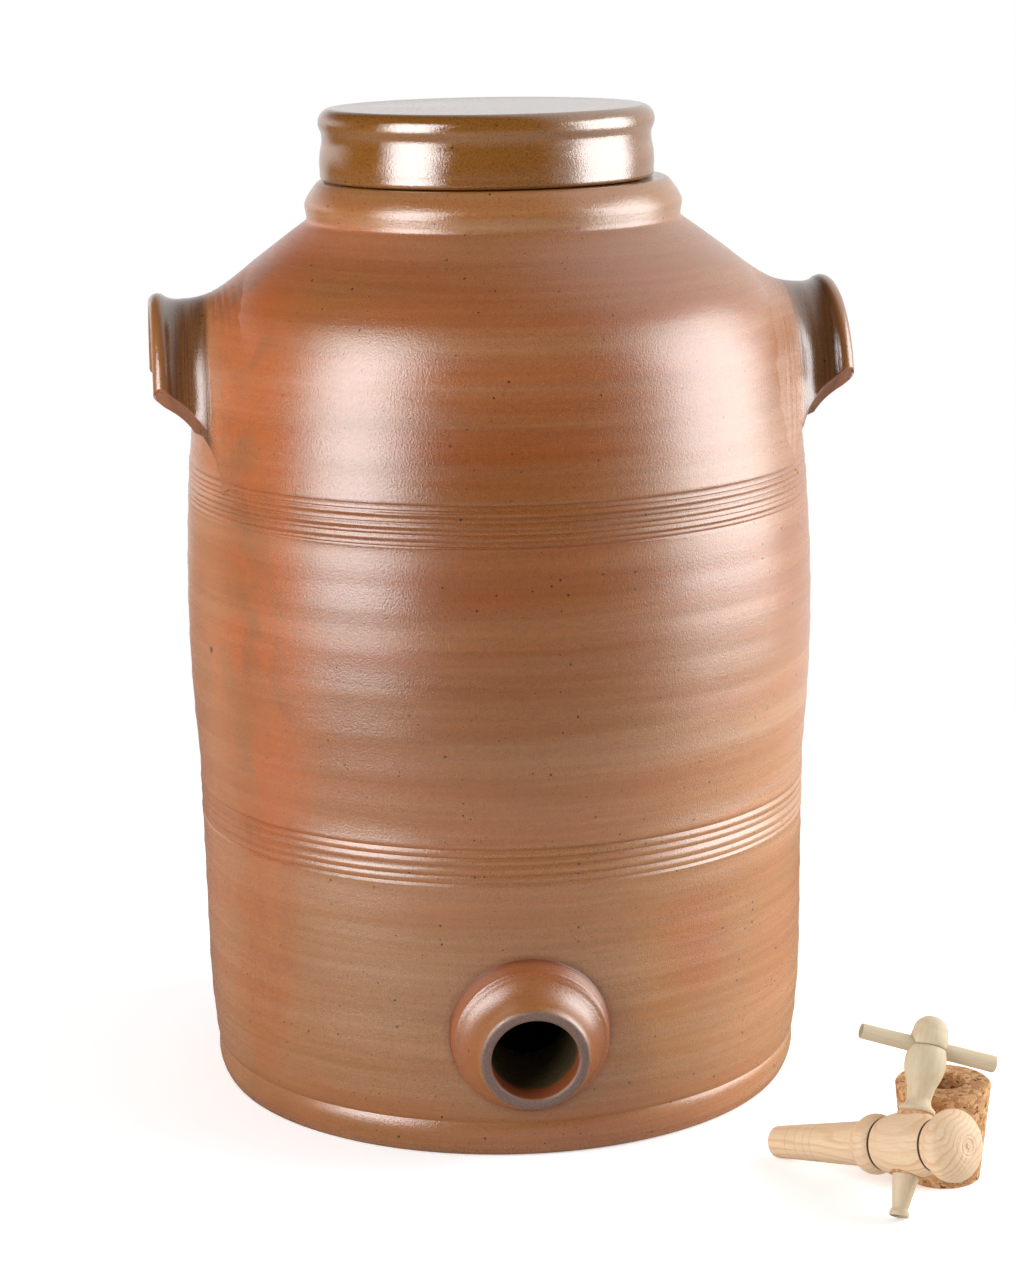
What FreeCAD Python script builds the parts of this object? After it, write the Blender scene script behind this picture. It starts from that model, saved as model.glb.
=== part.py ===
"""Stoneware drinks crock with a loose lid, a bored cork bung and a wooden spigot.

The jar stands on z = 0 with its axis on Z and its tap socket pointing along -Y.
The bung stands beside it and the spigot lies on the same surface, leaning on the bung.
All lengths are in millimetres and all angles in degrees.
"""
import FreeCAD, Part
import math
import os
import re

import Sketcher

SIZES = {
    # jar: outside, from the wire-cut base up to the collar under the lid; the foot's
    # insets lie inside the flank's radius, and each rise starts where the last one ended
    "base_inset": 5.9,
    "foot_inset": 3.3,
    "foot_height": 13.9,
    "foot_bulge": 1.6,
    "crease_depth": 0.6,
    "crease_height": 1.6,
    "heel_inset": 2.6,
    "flank_radius": 124.5,
    "flank_height": 50.0,
    "flank_bulge": 0.45,
    "straight_height": 138.0,
    "belly_swell": 3.7,
    "belly_height": 198.0,
    "belly_curve": 690.0,
    "shoulder_start": 301.0,
    "shoulder_radius": 100.2,
    "shoulder_rise": 35.0,
    "shoulder_bulge": 3.9,
    "shoulder_slope": 53.0,
    "slope_bulge": 0.27,
    "neck_radius": 75.2,
    "slope_rise": 18.6,
    "ring_foot_rise": 1.4,
    "ring_swell": 0.9,
    "ring_rise": 6.6,
    "ring_taper": 4.6,
    "ring_bulge": 0.5,
    "ledge_rise": 15.6,
    "ledge_edge": 0.5,
    "collar_radius": 58.3,
    "collar_height": 17.4,
    "mouth_radius": 51.2,
    "mouth_round": 3.0,
    "throat_rise": 4.0,
    # jar: inside
    "jar_wall": 8.5,
    "base_thickness": 12.0,
    "floor_corner": 9.0,
    "floor_round": 2.4,
    # bands of scored lines around the jar
    "score_depth": 0.45,
    "low_band_height": 112.6,
    "low_band_pitch": 3.4,
    "low_band_lines": 5,
    "low_band_width": 2.0,
    "high_band_height": 243.6,
    "high_band_pitch": 2.2,
    "high_band_lines": 8,
    "high_band_width": 1.5,
    # tap socket thrown on the front of the jar
    "socket_height": 48.2,
    "socket_stand": 19.7,
    "socket_tilt": 8.0,
    "socket_base_radius": 30.4,
    "socket_base_land": 17.4,
    "socket_root": 40.0,
    "socket_swell": 1.9,
    "socket_waist_radius": 25.0,
    "socket_waist_depth": 7.0,
    "socket_cove": 0.6,
    "socket_lip_radius": 21.0,
    "socket_lip_edge": 0.8,
    "bore_radius": 16.7,
    "bore_edge": 0.6,
    "bore_straight": 14.0,
    "bore_end_radius": 14.6,
    "bore_depth": 36.0,
    # handles: each is an arch cut from a thrown collar that lies on its side;
    # its lip stands out from the jar's wall, and the insets lie behind that wall
    "handle_turn": 2.7,
    "handle_spacing": 180.0,
    "handle_drop": 18.3,
    "handle_stand": 16.3,
    "handle_face_radius": 41.3,
    "handle_lip_width": 6.3,
    "handle_lip_back_radius": 43.5,
    "handle_lip_bulge": 2.5,
    "handle_neck_inset": 2.0,
    "handle_neck_radius": 42.6,
    "handle_neck_cove": 0.4,
    "handle_root_inset": 28.0,
    "handle_root_radius": 43.4,
    "handle_wall": 5.8,
    "handle_mouth_radius": 39.6,
    "handle_mouth_depth": 4.0,
    "handle_mouth_flare": 1.0,
    "handle_edge_drop": 31.5,
    "handle_edge_width": 42.8,
    "handle_edge_slope": 23.0,
    "handle_edge_bevel": 45.0,
    "smear_inset": 2.0,
    "smear_thickness": 2.2,
    "smear_drop": 8.0,
    "smear_neck_radius": 44.6,
    "smear_cove": 1.5,
    "smear_radius": 57.0,
    "smear_radius_inset": 17.0,
    "smear_depth": 12.2,
    # lid: a cap that stands on the ledge around the collar; its insets lie inside the
    # skirt's radius
    "lid_gap": 0.3,
    "lid_sits_off": 2.3,
    "lid_height": 28.5,
    "lid_play": 2.9,
    "lid_wall": 5.8,
    "lid_edge": 0.9,
    "lid_skirt_height": 12.9,
    "lid_skirt_bulge": 0.35,
    "lid_band_inset": 0.4,
    "lid_band_height": 17.3,
    "lid_band_cove": 0.4,
    "lid_crease_depth": 0.3,
    "lid_bead_height": 18.7,
    "lid_bead_inset": 0.1,
    "lid_bead_bulge": 2.9,
    "lid_crest_inset": 4.5,
    "lid_dish": 0.5,
    "lid_ceiling": 8.0,
    "lid_inner_corner": 3.0,
    # cork bung
    "bung_height": 38.0,
    "bung_low_radius": 14.5,
    "bung_top_radius": 18.15,
    "bung_bore_radius": 8.05,
    "bung_edge": 0.4,
    "bung_heading": 55.5,
    "bung_gap": 0.65,
    # spigot barrel, measured along its axis from the middle of the cross bore
    "tap_across": 136.3,
    "tap_forward": 184.6,
    "barrel_heading": -52.8,
    "key_roll": 30.394,
    "knob_length": 28.2,
    "nub_radius": 0.95,
    "nub_height": 0.5,
    "nub_foot_radius": 1.35,
    "knob_dome": 2.2,
    "knob_rim_length": 22.7,
    "knob_rim_radius": 13.2,
    "knob_back": 0.9,
    "knob_neck_length": 16.2,
    "knob_neck_radius": 11.6,
    "knob_cove": 0.35,
    "burn_line_near": 12.35,
    "burn_line_far": 13.05,
    "burn_line_radius": 9.2,
    "burn_line_width": 0.6,
    "burn_shoulder_radius": 9.9,
    "barrel_bulge": 2.4,
    "bead_end": 21.5,
    "bead_bulge": 1.5,
    "tail_cove": 0.25,
    "tail_start": 25.0,
    "tail_start_radius": 8.47,
    "tail_length": 69.8,
    "tail_radius": 6.15,
    "tail_edge": 0.4,
    "flow_radius": 2.5,
    "seat_height": 11.9,
    "seat_radius": 7.8,
    # cork lining of the cross bore
    "lining_wall": 1.05,
    "lining_top": 11.6,
    "lining_bottom": 11.7,
    # key: plug, nozzle, turned stem and head
    "plug_clearance": 0.05,
    "plug_top_radius": 6.2,
    "plug_bottom": 12.0,
    "plug_bottom_radius": 4.95,
    "nozzle_length": 27.1,
    "nozzle_lip_radius": 3.67,
    "nozzle_lip_edge": 0.3,
    "nozzle_lip_height": 1.6,
    "nozzle_cove": 0.1,
    "nozzle_neck_radius": 3.05,
    "nozzle_neck_length": 24.0,
    "key_bore_radius": 2.2,
    "key_port_radius": 1.9,
    "key_bore_flare": 0.7,
    "seat_gap": 0.3,
    "key_foot_radius": 6.6,
    "key_foot_height": 1.8,
    "key_foot_bulge": 0.3,
    "waist_cove": 0.9,
    "waist_height": 18.6,
    "waist_radius": 4.75,
    "stem_cove": 0.2,
    "stem_height": 24.2,
    "stem_radius": 6.2,
    "stem_bulge": 1.2,
    "stem_top_height": 36.8,
    "stem_top_radius": 6.9,
    "notch_radius": 6.2,
    "notch_width": 0.55,
    "head_height": 43.5,
    "head_radius": 6.55,
    "head_bulge": 0.4,
    "head_cap_radius": 3.6,
    "head_cap_height": 48.3,
    "head_cap_bulge": 0.8,
    "key_top": 48.8,
    # crossbar through the key's head
    "bar_turn": 59.5,
    "bar_half_length": 26.7,
    "bar_thin_radius": 2.85,
    "bar_thick_radius": 3.2,
    "bar_edge": 0.4,
}

document = FreeCAD.newDocument("drinks_crock")
sheet = document.addObject("Spreadsheet::Sheet", "Sizes")
for row, (name, value) in enumerate(SIZES.items(), start=1):
    sheet.set(f"A{row}", name)
    sheet.set(f"B{row}", str(value))
    sheet.setAlias(f"B{row}", name)
document.recompute()


# ---------------------------------------------------------------- sizes and sketches
def bound(expression):
    """The expression with each size name pointing at its cell in the sheet."""
    def point(word):
        return "Sizes." + word[0] if word[0] in SIZES else word[0]
    return re.sub(r"[a-z][a-z_]*", point, expression)


def value_of(expression):
    """What the expression comes to with the sheet's present values."""
    result = sheet.evalExpression(expression)
    return float(getattr(result, "Value", result))


def bulge(height, side=1):
    """An arc that stands height proud of its chord, outward for side 1, inward for -1."""
    return "bulge", height, side


def radius(length, side=1):
    """An arc of the given radius, curving outward for side 1, inward for -1."""
    return "radius", length, side


def arc_radius(start, end, arc):
    """Expression for the radius of an arc between two corners."""
    kind, size, _ = arc
    if kind == "radius":
        return size
    chord = f"(({end[0]}) - ({start[0]}))^2 + (({end[1]}) - ({start[1]}))^2"
    return f"({chord}) / (8 * ({size})) + ({size}) / 2"


def arc_middle(start, end, arc):
    """Middle point of the arc between two corners, which sets the side it bends to."""
    kind, size, side = arc
    x0, y0, x1, y1 = (value_of(part) for part in (start[0], start[1], end[0], end[1]))
    chord = math.hypot(x1 - x0, y1 - y0)
    rise = value_of(size)
    if kind == "radius":
        rise = rise - math.sqrt(rise * rise - chord * chord / 4)
    return FreeCAD.Vector((x0 + x1) / 2 + side * rise * (y1 - y0) / chord,
                          (y0 + y1) / 2 - side * rise * (x1 - x0) / chord, 0)


def add_outline(sketch, corners):
    """One closed outline of lines and arcs whose corners are bound to the sheet.

    Each corner is (across, along, arc to the next corner or None); the outline runs
    anticlockwise, so that "outward" is away from the material.
    """
    first = sketch.GeometryCount
    starts, ends = [], []
    for index, corner in enumerate(corners):
        following = corners[(index + 1) % len(corners)]
        here = FreeCAD.Vector(value_of(corner[0]), value_of(corner[1]), 0)
        there = FreeCAD.Vector(value_of(following[0]), value_of(following[1]), 0)
        if corner[2]:
            sketch.addGeometry(Part.Arc(here, arc_middle(corner, following, corner[2]), there))
        else:
            sketch.addGeometry(Part.LineSegment(here, there))
        forward = not corner[2] or corner[2][2] > 0
        starts.append(1 if forward else 2)
        ends.append(2 if forward else 1)
    count = len(corners)
    for index in range(count):
        after = (index + 1) % count
        sketch.addConstraint(Sketcher.Constraint(
            "Coincident", first + index, ends[index], first + after, starts[after]))
    for index, (across, along, arc) in enumerate(corners):
        edge = first + index
        for kind, expression, axis in (("DistanceX", across, -2), ("DistanceY", along, -1)):
            place = value_of(expression)
            if abs(place) < 1e-9:
                sketch.addConstraint(Sketcher.Constraint("PointOnObject", edge, starts[index], axis))
                continue
            number = sketch.addConstraint(
                Sketcher.Constraint(kind, -1, 1, edge, starts[index], place))
            sketch.setExpression(f"Constraints[{number}]", bound(expression))
        if arc:
            expression = arc_radius((across, along), corners[(index + 1) % count], arc)
            number = sketch.addConstraint(
                Sketcher.Constraint("Radius", edge, value_of(expression)))
            sketch.setExpression(f"Constraints[{number}]", bound(expression))


def new_body(label, placement=None):
    body = document.addObject("PartDesign::Body", label)
    body.Label = label
    if placement:
        body.Placement = placement
    return body


def sketch_on(body, role, *outlines):
    """A sketch on one of the body's own origin planes."""
    plane = [item for item in body.Origin.OriginFeatures if item.Role == role][0]
    sketch = body.newObject("Sketcher::SketchObject", body.Name + "_outline")
    sketch.AttachmentSupport = [(plane, "")]
    sketch.MapMode = "FlatFace"
    for corners in outlines:
        add_outline(sketch, corners)
    return sketch


def turn(body, kind, sketch, axis):
    """A Revolution or a Groove of the sketch about its V_Axis or H_Axis."""
    feature = body.newObject("PartDesign::" + kind, body.Name + "_" + kind.lower())
    feature.Profile = sketch
    feature.ReferenceAxis = (sketch, [axis])
    feature.Angle = 360
    body.Tip = feature
    return feature


def turned_body(label, corners, placement=None, upright=True):
    """A body turned from one outline about its own Z axis, or about X if not upright."""
    body = new_body(label, placement)
    role, axis = ("XZ_Plane", "V_Axis") if upright else ("XY_Plane", "H_Axis")
    turn(body, "Revolution", sketch_on(body, role, corners), axis)
    return body


def cut(label, base, *tools):
    """base less each tool in turn; the last result carries the label."""
    result = base
    for index, tool in enumerate(tools):
        step = document.addObject("Part::Cut", f"{label}_cut{index}")
        step.Base, step.Tool = result, tool
        result = step
    result.Label = label
    return result


def vector(x, y, z):
    return FreeCAD.Vector(x, y, z)


# ---------------------------------------------------------------- jar
# the jar's widest radius, and heights on it, one stacked on the other
BELLY = "(flank_radius + belly_swell)"
SHOULDER_TOP = "(shoulder_start + shoulder_rise)"
NECK_FOOT = f"({SHOULDER_TOP} + slope_rise)"
LEDGE = f"({NECK_FOOT} + ledge_rise)"
HANDLE_LEVEL = "(shoulder_start - handle_drop)"


def belly_at(height):
    """Outer radius where the belly's curve passes the given height."""
    return f"({BELLY} - belly_curve + sqrt(belly_curve^2 - (({height}) - belly_height)^2))"


def flank_at(height):
    """Outer radius on the nearly straight stretch between flank and belly."""
    share = f"(({height}) - flank_height) / (straight_height - flank_height)"
    return f"(flank_radius + ({belly_at('straight_height')} - flank_radius) * {share})"


def jar_side(grow):
    """Corners of the jar's side from flank to neck, moved outward by grow."""
    across, up = f"({grow}) * cos(shoulder_slope)", f"({grow}) * sin(shoulder_slope)"
    return [
        (f"flank_radius + {grow}", "flank_height", None),
        (f"{belly_at('straight_height')} + {grow}", "straight_height", radius("belly_curve")),
        (f"{BELLY} + {grow}", "belly_height", radius("belly_curve")),
        (f"{belly_at('shoulder_start')} + {grow}", "shoulder_start", bulge("shoulder_bulge")),
        (f"shoulder_radius + {across}", f"{SHOULDER_TOP} + {up}", bulge("slope_bulge")),
        (f"neck_radius + {across}", f"{NECK_FOOT} + {up}", None),
    ]


def backwards(corners):
    """The same corners walked the other way, as the inside of a wall."""
    walked = []
    for index in range(len(corners) - 1, -1, -1):
        arc = corners[index - 1][2] if index else None
        back = (arc[0], arc[1], -arc[2]) if arc else None
        walked.append((corners[index][0], corners[index][1], back))
    return walked


JAR_FOOT = [
    ("0", "0", None),
    ("flank_radius - base_inset", "0", bulge("foot_bulge")),
    ("flank_radius - foot_inset", "foot_height", None),
    ("flank_radius - foot_inset - crease_depth", "foot_height + crease_height / 2", None),
    ("flank_radius - heel_inset", "foot_height + crease_height", bulge("flank_bulge")),
]
JAR_NECK = [
    ("neck_radius", f"{NECK_FOOT} + ring_foot_rise", None),
    ("neck_radius + ring_swell", f"{NECK_FOOT} + ring_rise", bulge("ring_bulge")),
    ("neck_radius - ring_taper", f"{LEDGE} - ledge_edge", None),
    ("neck_radius - ring_taper - ledge_edge", LEDGE, None),
    ("collar_radius", LEDGE, None),
    ("collar_radius", f"{LEDGE} + collar_height - mouth_round", bulge("mouth_round")),
    ("mouth_radius", f"{LEDGE} + collar_height - mouth_round", None),
    ("mouth_radius", f"{NECK_FOOT} + throat_rise", None),
]


# turns a form's seam to the back, away from the handles and the socket that it cuts
SEAM_BEHIND = FreeCAD.Placement(vector(0, 0, 0), FreeCAD.Rotation(vector(0, 0, 1), 90))


def score_lines(height, pitch, lines, width, surface):
    """Small V notches one above another, each cut into the surface at its own height."""
    notches = []
    for index in range(int(value_of(lines))):
        middle = f"{height} + {index} * {pitch}"
        low, high = f"{middle} - {width} / 2", f"{middle} + {width} / 2"
        notches.append([
            (f"{surface(middle)} - score_depth", middle, None),
            (f"{surface(low)} + score_depth", low, None),
            (f"{surface(high)} + score_depth", high, None),
        ])
    return notches


def socket_placement():
    """Frame at the socket's mouth, its Z axis pointing out of the mouth."""
    out = vector(0, -math.cos(math.radians(SIZES["socket_tilt"])),
                 -math.sin(math.radians(SIZES["socket_tilt"])))
    place = vector(0, -value_of("flank_radius + socket_stand"), SIZES["socket_height"])
    return FreeCAD.Placement(place, FreeCAD.Rotation(vector(1, 0, 0), vector(0, 0, 0), out, "ZXY"))


def make_jar():
    """The jar, cut through for the tap socket, and its solid outside as a cutting form."""
    jar = new_body("jar_blank")
    inside = backwards(jar_side("(-jar_wall)"))
    floor = [
        ("flank_radius - jar_wall", "base_thickness + floor_corner", bulge("floor_round", -1)),
        ("flank_radius - jar_wall - floor_corner", "base_thickness", None),
        ("0", "base_thickness", None),
    ]
    section = JAR_FOOT + jar_side("0") + JAR_NECK + inside + floor
    turn(jar, "Revolution", sketch_on(jar, "XZ_Plane", section), "V_Axis")
    low = score_lines("low_band_height", "low_band_pitch", "low_band_lines", "low_band_width", flank_at)
    high = score_lines("high_band_height", "high_band_pitch", "high_band_lines", "high_band_width",
                       belly_at)
    turn(jar, "Groove", sketch_on(jar, "XZ_Plane", *low, *high), "V_Axis")
    bore = turned_body("tap_bore_form", [
        ("0", "-bore_depth", None),
        ("bore_end_radius", "-bore_depth", None),
        ("bore_radius", "-bore_straight", None),
        ("bore_radius", "-bore_edge", None),
        ("bore_radius + bore_edge", "0", None),
        ("bore_radius + bore_edge", "bore_straight", None),
        ("0", "bore_straight", None),
    ], socket_placement())
    outside = turned_body("jar_outside_form",
                          JAR_FOOT + jar_side("0") + [("0", NECK_FOOT, None)], SEAM_BEHIND)
    return cut("jar_body", jar, bore), outside, bore


def make_socket(outside, bore):
    """The thrown ring around the tap hole, seated on the jar's wall."""
    blank = turned_body("tap_socket_blank", [
        ("0", "-socket_root", None),
        ("socket_base_radius", "-socket_root", None),
        ("socket_base_radius", "-socket_base_land", bulge("socket_swell")),
        ("socket_waist_radius", "-socket_waist_depth", bulge("socket_cove", -1)),
        ("socket_lip_radius", "-socket_lip_edge", None),
        ("socket_lip_radius - socket_lip_edge", "0", None),
        ("0", "0", None),
    ], socket_placement())
    return cut("tap_socket", blank, outside, bore)


# ---------------------------------------------------------------- handles
def make_handle(label, heading, outside, grown):
    """An arch with a rolled lip, open below, its root smeared on to the jar."""
    turned = FreeCAD.Rotation(vector(0, 0, 1), heading)
    level, wall = value_of(HANDLE_LEVEL), belly_at(HANDLE_LEVEL)
    reach, neck, root = (f"({wall} + handle_stand)", f"({wall} - handle_neck_inset)",
                         f"({wall} - handle_root_inset)")
    axis_frame = FreeCAD.Placement(vector(0, 0, level), turned)
    collar = turned_body(label + "_collar", [
        (reach, "0", None),
        (reach, "handle_face_radius", bulge("handle_lip_bulge")),
        (f"{reach} - handle_lip_width", "handle_lip_back_radius", bulge("handle_neck_cove", -1)),
        (neck, "handle_neck_radius", None),
        (root, "handle_root_radius", None),
        (root, "0", None),
    ], axis_frame, upright=False)
    void = turned_body(label + "_void", [
        (f"{reach} + handle_lip_width", "0", None),
        (f"{reach} + handle_lip_width", "handle_mouth_radius", None),
        (reach, "handle_mouth_radius", None),
        (f"{reach} - handle_mouth_depth", "handle_neck_radius - handle_wall + handle_mouth_flare", None),
        (neck, "handle_neck_radius - handle_wall", None),
        (f"{root} - handle_wall", "handle_root_radius - handle_wall", None),
        (f"{root} - handle_wall", "0", None),
    ], axis_frame, upright=False)
    edge_frame = axis_frame.multiply(FreeCAD.Placement(
        vector(value_of(reach), 0,
               SIZES["handle_face_radius"] + SIZES["handle_lip_bulge"] - SIZES["handle_edge_drop"]),
        FreeCAD.Rotation(vector(0, 1, 0), -SIZES["handle_edge_slope"])))
    trough = new_body(label + "_edge_form", edge_frame)
    far, low = "(2 * handle_edge_width)", "(-3 * handle_edge_width)"
    climb = "handle_edge_width * tan(handle_edge_bevel)"
    sketch = sketch_on(trough, "YZ_Plane", [
        ("0", f"-{climb}", None),
        (far, climb, None),
        (far, low, None),
        (f"-{far}", low, None),
        (f"-{far}", climb, None),
    ])
    pad = trough.newObject("PartDesign::Pad", label + "_edge_pad")
    pad.Profile = sketch
    pad.setExpression("Length", bound("4 * handle_edge_width"))
    pad.Midplane = True
    arch = cut(label + "_arch", collar, trough)

    smear_frame = FreeCAD.Placement(vector(0, 0, level - SIZES["smear_drop"]), turned)
    smear = turned_body(label + "_smear", [
        (f"{wall} - smear_inset", "0", None),
        (f"{wall} - smear_inset", "smear_neck_radius", bulge("smear_cove", -1)),
        (f"{wall} - smear_radius_inset", "smear_radius", None),
        (root, "smear_radius", None),
        (root, "0", None),
    ], smear_frame, upright=False)
    skin = document.addObject("Part::Common", label + "_skin")
    skin.Base, skin.Tool = smear, grown
    below = document.addObject("Part::Box", label + "_below_form")
    for side in ("Length", "Width"):
        below.setExpression(side, bound(f"4 * {BELLY}"))
    below.setExpression("Height", bound(f"{HANDLE_LEVEL} - smear_depth"))
    below.Placement.Base = vector(-2, -2, 0) * value_of(BELLY)
    joined = document.addObject("Part::Fuse", label + "_joined")
    joined.Base, joined.Tool = arch, skin
    return cut(label, joined, void, below, outside)


# ---------------------------------------------------------------- lid and bung
def make_lid():
    """A cap with a rolled rim, its skirt standing on the ledge around the collar."""
    place = FreeCAD.Placement(
        vector(-SIZES["lid_sits_off"], 0, value_of(f"{LEDGE} + lid_gap")),
        FreeCAD.Rotation())
    inner, ceiling = "(collar_radius + lid_play)", "lid_height - lid_ceiling"
    skirt = f"({inner} + lid_wall)"
    return turned_body("lid", [
        (inner, "0", None),
        (f"{skirt} - lid_edge", "0", None),
        (skirt, "lid_edge", bulge("lid_skirt_bulge")),
        (f"{skirt} - lid_band_inset", "lid_skirt_height", bulge("lid_band_cove", -1)),
        (f"{skirt} - lid_band_inset", "lid_band_height", None),
        (f"{skirt} - lid_bead_inset - lid_crease_depth", "(lid_band_height + lid_bead_height) / 2", None),
        (f"{skirt} - lid_bead_inset", "lid_bead_height", bulge("lid_bead_bulge")),
        (f"{skirt} - lid_crest_inset", "lid_height", None),
        ("0", "lid_height - lid_dish", None),
        ("0", ceiling, None),
        (f"{inner} - lid_inner_corner", ceiling, None),
        (inner, f"{ceiling} - lid_inner_corner", None),
    ], place)


def make_bung(pose):
    """A bored cork, wide end up, standing where the key's stem leans on its rim."""
    stem = pose["centre"] + pose["key"] * ((SIZES["bung_height"] - pose["centre"].z) / pose["key"].z)
    away = SIZES["bung_top_radius"] + SIZES["waist_radius"] / pose["key"].z + SIZES["bung_gap"]
    angle = math.radians(SIZES["bung_heading"])
    place = vector(stem.x + away * math.cos(angle), stem.y + away * math.sin(angle), 0)
    return turned_body("bung", [
        ("bung_bore_radius", "0", None),
        ("bung_low_radius - bung_edge", "0", None),
        ("bung_low_radius", "bung_edge", None),
        ("bung_top_radius", "bung_height - bung_edge", None),
        ("bung_top_radius - bung_edge", "bung_height", None),
        ("bung_bore_radius", "bung_height", None),
    ], FreeCAD.Placement(place, FreeCAD.Rotation()))


# ---------------------------------------------------------------- spigot
def spigot_pose():
    """How the spigot lies: tail tip and nozzle both touch the floor.

    The key's roll about the barrel is given. The barrel rises until the tail tip, which
    lifts its middle, and the nozzle, which leans with the key, stand equally low.
    """
    heading, roll = math.radians(SIZES["barrel_heading"]), math.radians(SIZES["key_roll"])
    tail = SIZES["tail_length"] - SIZES["tail_edge"]
    mouth = SIZES["nozzle_lip_radius"] - SIZES["nozzle_lip_edge"]
    flat, steep = 0.0, math.pi / 2
    for _ in range(60):
        rise = (flat + steep) / 2
        height = tail * math.sin(rise) + SIZES["tail_radius"] * math.cos(rise)
        upright = math.cos(roll) * math.cos(rise)
        nozzle = SIZES["nozzle_length"] * upright + mouth * math.sqrt(1 - upright * upright)
        flat, steep = (rise, steep) if height < nozzle else (flat, rise)
    barrel = vector(math.cos(rise) * math.cos(heading), math.cos(rise) * math.sin(heading),
                    math.sin(rise))
    upward = (vector(0, 0, 1) - barrel * barrel.z).normalize()
    aside = upward.cross(barrel)
    key = upward * math.cos(roll) + aside * math.sin(roll)
    centre = vector(SIZES["tap_across"], -SIZES["tap_forward"], height)
    turned = FreeCAD.Rotation(barrel, key.cross(barrel), key, "XZY")
    return {"centre": centre, "barrel": barrel, "key": key,
            "frame": FreeCAD.Placement(centre, turned)}


def lining_radius(height):
    """Radius of the key's plug at a height above the barrel's axis."""
    share = f"(({height}) + plug_bottom) / (seat_height + seat_gap + plug_bottom)"
    return f"(plug_bottom_radius + (plug_top_radius - plug_bottom_radius) * {share})"


def make_barrel(pose):
    """Turned barrel with knob, bead and tail, bored along its tail and across."""
    barrel = turned_body("tap_barrel", [
        ("knob_length + nub_height", "0", None),
        ("knob_length + nub_height", "nub_radius", None),
        ("knob_length", "nub_foot_radius", bulge("knob_dome")),
        ("knob_rim_length", "knob_rim_radius", bulge("knob_back")),
        ("knob_neck_length", "knob_neck_radius", bulge("knob_cove", -1)),
        ("burn_line_near + burn_line_width", "burn_shoulder_radius", None),
        ("burn_line_near", "burn_line_radius", None),
        ("burn_line_near - burn_line_width", "burn_shoulder_radius", bulge("barrel_bulge")),
        ("burn_line_width - burn_line_far", "burn_shoulder_radius", None),
        ("-burn_line_far", "burn_line_radius", None),
        ("-burn_line_far - burn_line_width", "burn_shoulder_radius", bulge("bead_bulge")),
        ("-bead_end", "burn_shoulder_radius", bulge("tail_cove", -1)),
        ("-tail_start", "tail_start_radius", None),
        ("tail_edge - tail_length", "tail_radius", None),
        ("-tail_length", "tail_radius - tail_edge", None),
        ("-tail_length", "0", None),
    ], pose["frame"], upright=False)
    wall = "lining_wall + plug_clearance"
    deep = "(-1.5 * plug_bottom)"
    turn(barrel, "Groove", sketch_on(barrel, "XZ_Plane", [
        ("0", deep, None),
        (f"{lining_radius(deep)} + {wall}", deep, None),
        (f"{lining_radius('seat_height')} + {wall}", "seat_height", None),
        ("seat_radius", "seat_height", None),
        ("seat_radius", "seat_height + seat_radius", None),
        ("0", "seat_height + seat_radius", None),
    ]), "V_Axis")
    turn(barrel, "Groove", sketch_on(barrel, "XY_Plane", [
        ("0", "0", None),
        ("0", "flow_radius", None),
        ("-tail_length - tail_edge", "flow_radius", None),
        ("-tail_length - tail_edge", "0", None),
    ]), "H_Axis")
    return barrel


def make_lining(pose):
    """Cork sleeve between plug and barrel, with a port to the barrel's bore."""
    lining = turned_body("cork_lining", [
        (f"{lining_radius('-lining_bottom')} + plug_clearance", "-lining_bottom", None),
        (f"{lining_radius('-lining_bottom')} + plug_clearance + lining_wall", "-lining_bottom", None),
        (f"{lining_radius('lining_top')} + plug_clearance + lining_wall", "lining_top", None),
        (f"{lining_radius('lining_top')} + plug_clearance", "lining_top", None),
    ], pose["frame"])
    turn(lining, "Groove", sketch_on(lining, "XY_Plane", [
        ("0", "0", None),
        ("0", "flow_radius", None),
        ("-seat_height", "flow_radius", None),
        ("-seat_height", "0", None),
    ]), "H_Axis")
    return lining


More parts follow.
